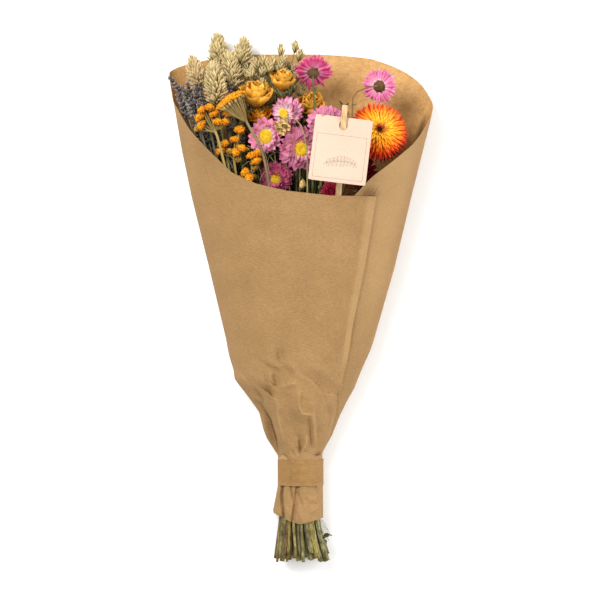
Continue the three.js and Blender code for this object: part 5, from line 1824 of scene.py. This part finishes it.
# Bracts of the large strawflower, from the lowest layer to the inmost: their bodies and their tips
FLAMES = {
    "flame_bract": (
        [(0.0, "#a01408"), (0.4, "#cc2c0a"), (0.75, "#f0680e"), (1.0, "#fca212")],
        [(0.0, "#7c0a06"), (0.4, "#aa1608"), (0.75, "#cc2c0a"), (1.0, "#dc400c")],
    ),
    "amber_bract": (
        [(0.0, "#fb9412"), (0.4, "#ffb418"), (0.75, "#ffb418"), (1.0, "#8a2c0c")],
        [(0.0, "#ee560e"), (0.4, "#fb9212"), (0.75, "#ffc020"), (1.0, "#a33a10")],
    ),
}


def build_materials():
    made = [
        kraft_finish("kraft_outside", "#99774c", ("#8f6f45", "#a27f54"), 0.42),
        kraft_finish("kraft_inside", "#c79a60", ("#b38449", "#d2a972"), 0.12),
        kraft_finish("kraft_tape", "#957142", ("#8a673b", "#9e794a"), 0.35),
        card_finish(), ink_finish(), wood_finish(), floor_finish(),
    ]
    made += [grained(name, *skin) for name, skin in SKINS.items()]
    made += [stalk_finish(name, *tones) for name, tones in CUT_STALKS.items()]
    made += [flame_finish(name, *stops) for name, stops in FLAMES.items()]
    for place, tones in enumerate(PINKS):
        stops = list(zip(PINK_PLACES, tones))
        made.append(grained(f"pink_petal_{place + 1}", stops, 0.6, 0.4, 0.25, 0.0002))
    return {material.name: material for material in made}


def build_lights():
    world = bpy.data.worlds.new("studio")
    bpy.context.scene.world = world
    world.use_nodes = True
    background = world.node_tree.nodes["Background"]
    background.inputs["Color"].default_value = (1.0, 1.0, 1.0, 1.0)
    background.inputs["Strength"].default_value = 0.72
    for name, spot, size, power in (
        ("key_light", (-0.8, 0.8, 1.4), 0.8, 33),
        ("fill_light", (1.4, 0.0, 0.95), 1.4, 24),
    ):
        data = bpy.data.lights.new(name, "AREA")
        data.size = size
        data.energy = power
        light = linked(name, data)
        light.location = spot
        aim = Vector((0, 0.03, 0.03)) - Vector(spot)
        light.rotation_euler = aim.to_track_quat("-Z", "Y").to_euler()


def build_camera():
    """Straight above the bouquet, with a lens that takes in a span at the level of the flowers."""
    height, level, span = 3.2, 0.045, 0.498
    data = bpy.data.cameras.new("overhead_camera")
    data.sensor_width = 36
    data.lens = 36 * (height - level) / span
    camera = linked("overhead_camera", data)
    camera.location = (0, 0, height)
    bpy.context.scene.camera = camera
    bpy.context.scene.view_settings.view_transform = "Standard"


def build_floor(material):
    made = bmesh.new()
    bmesh.ops.create_grid(made, x_segments=2, y_segments=2, size=4)
    for vert in made.verts:
        vert.co.z = -0.0004
    mesh = filled("floor", made)
    mesh.materials.append(material)
    linked("floor", mesh)


def build_scene():
    finishes = build_materials()
    stems = plan_stems()

    def named(*names):
        return [finishes[name] for name in names]

    green = named("green_stem", "dry_leaf", "brown_calyx")
    shaded = named("shaded_stalk", "shaded_leaf", "dry_leaf")
    pinks = named(*(f"pink_petal_{place + 1}" for place in range(len(PINKS))))
    build_wrap(named("kraft_outside", "kraft_inside"))
    build_band(named("kraft_tape"))
    build_card(named("cream_card", "grey_ink"))
    build_stick(named("pale_wood"))
    build_canary_grass(stems, named("canary_husk", "dry_stalk", "peach_husk"))
    build_lavender(stems, named("lavender_calyx", "grey_stalk", "lavender_petal"))
    build_yellow_sprays(stems, named("golden_floret", "button_cup", "faded_floret"))
    build_umbel(stems, named("golden_floret", "grey_twig", "tan_cup"))
    build_roses(stems, named("yellow_rose", "orange_rose"), green)
    build_daisies(stems, pinks, named("yellow_floret"), green)
    red = named("flame_bract", "dark_red_bract", "crimson_bract")
    build_strawflowers(stems, red, named("amber_bract", "brown_heart"), green)
    build_oats(stems, named("canary_husk", "dry_stalk"))
    build_pods(stems, named("papery_pod", "dry_stalk"))
    build_sprigs("leaf_sprigs", 150, (-84, 40), (92, 176), 820, shaded)
    build_sprigs("leaf_sprigs_behind", 80, (-48, 14), (146, 180), 822, shaded)
    build_wiry_twigs(named("dry_stalk"))
    build_meadow_grass(named("canary_husk", "dry_stalk"))
    build_cut_stems(named(*CUT_STALKS, "shaded_leaf"))
    build_floor(finishes["pale_floor"])
    build_lights()
    build_camera()


build_scene()
bpy.context.view_layer.update()
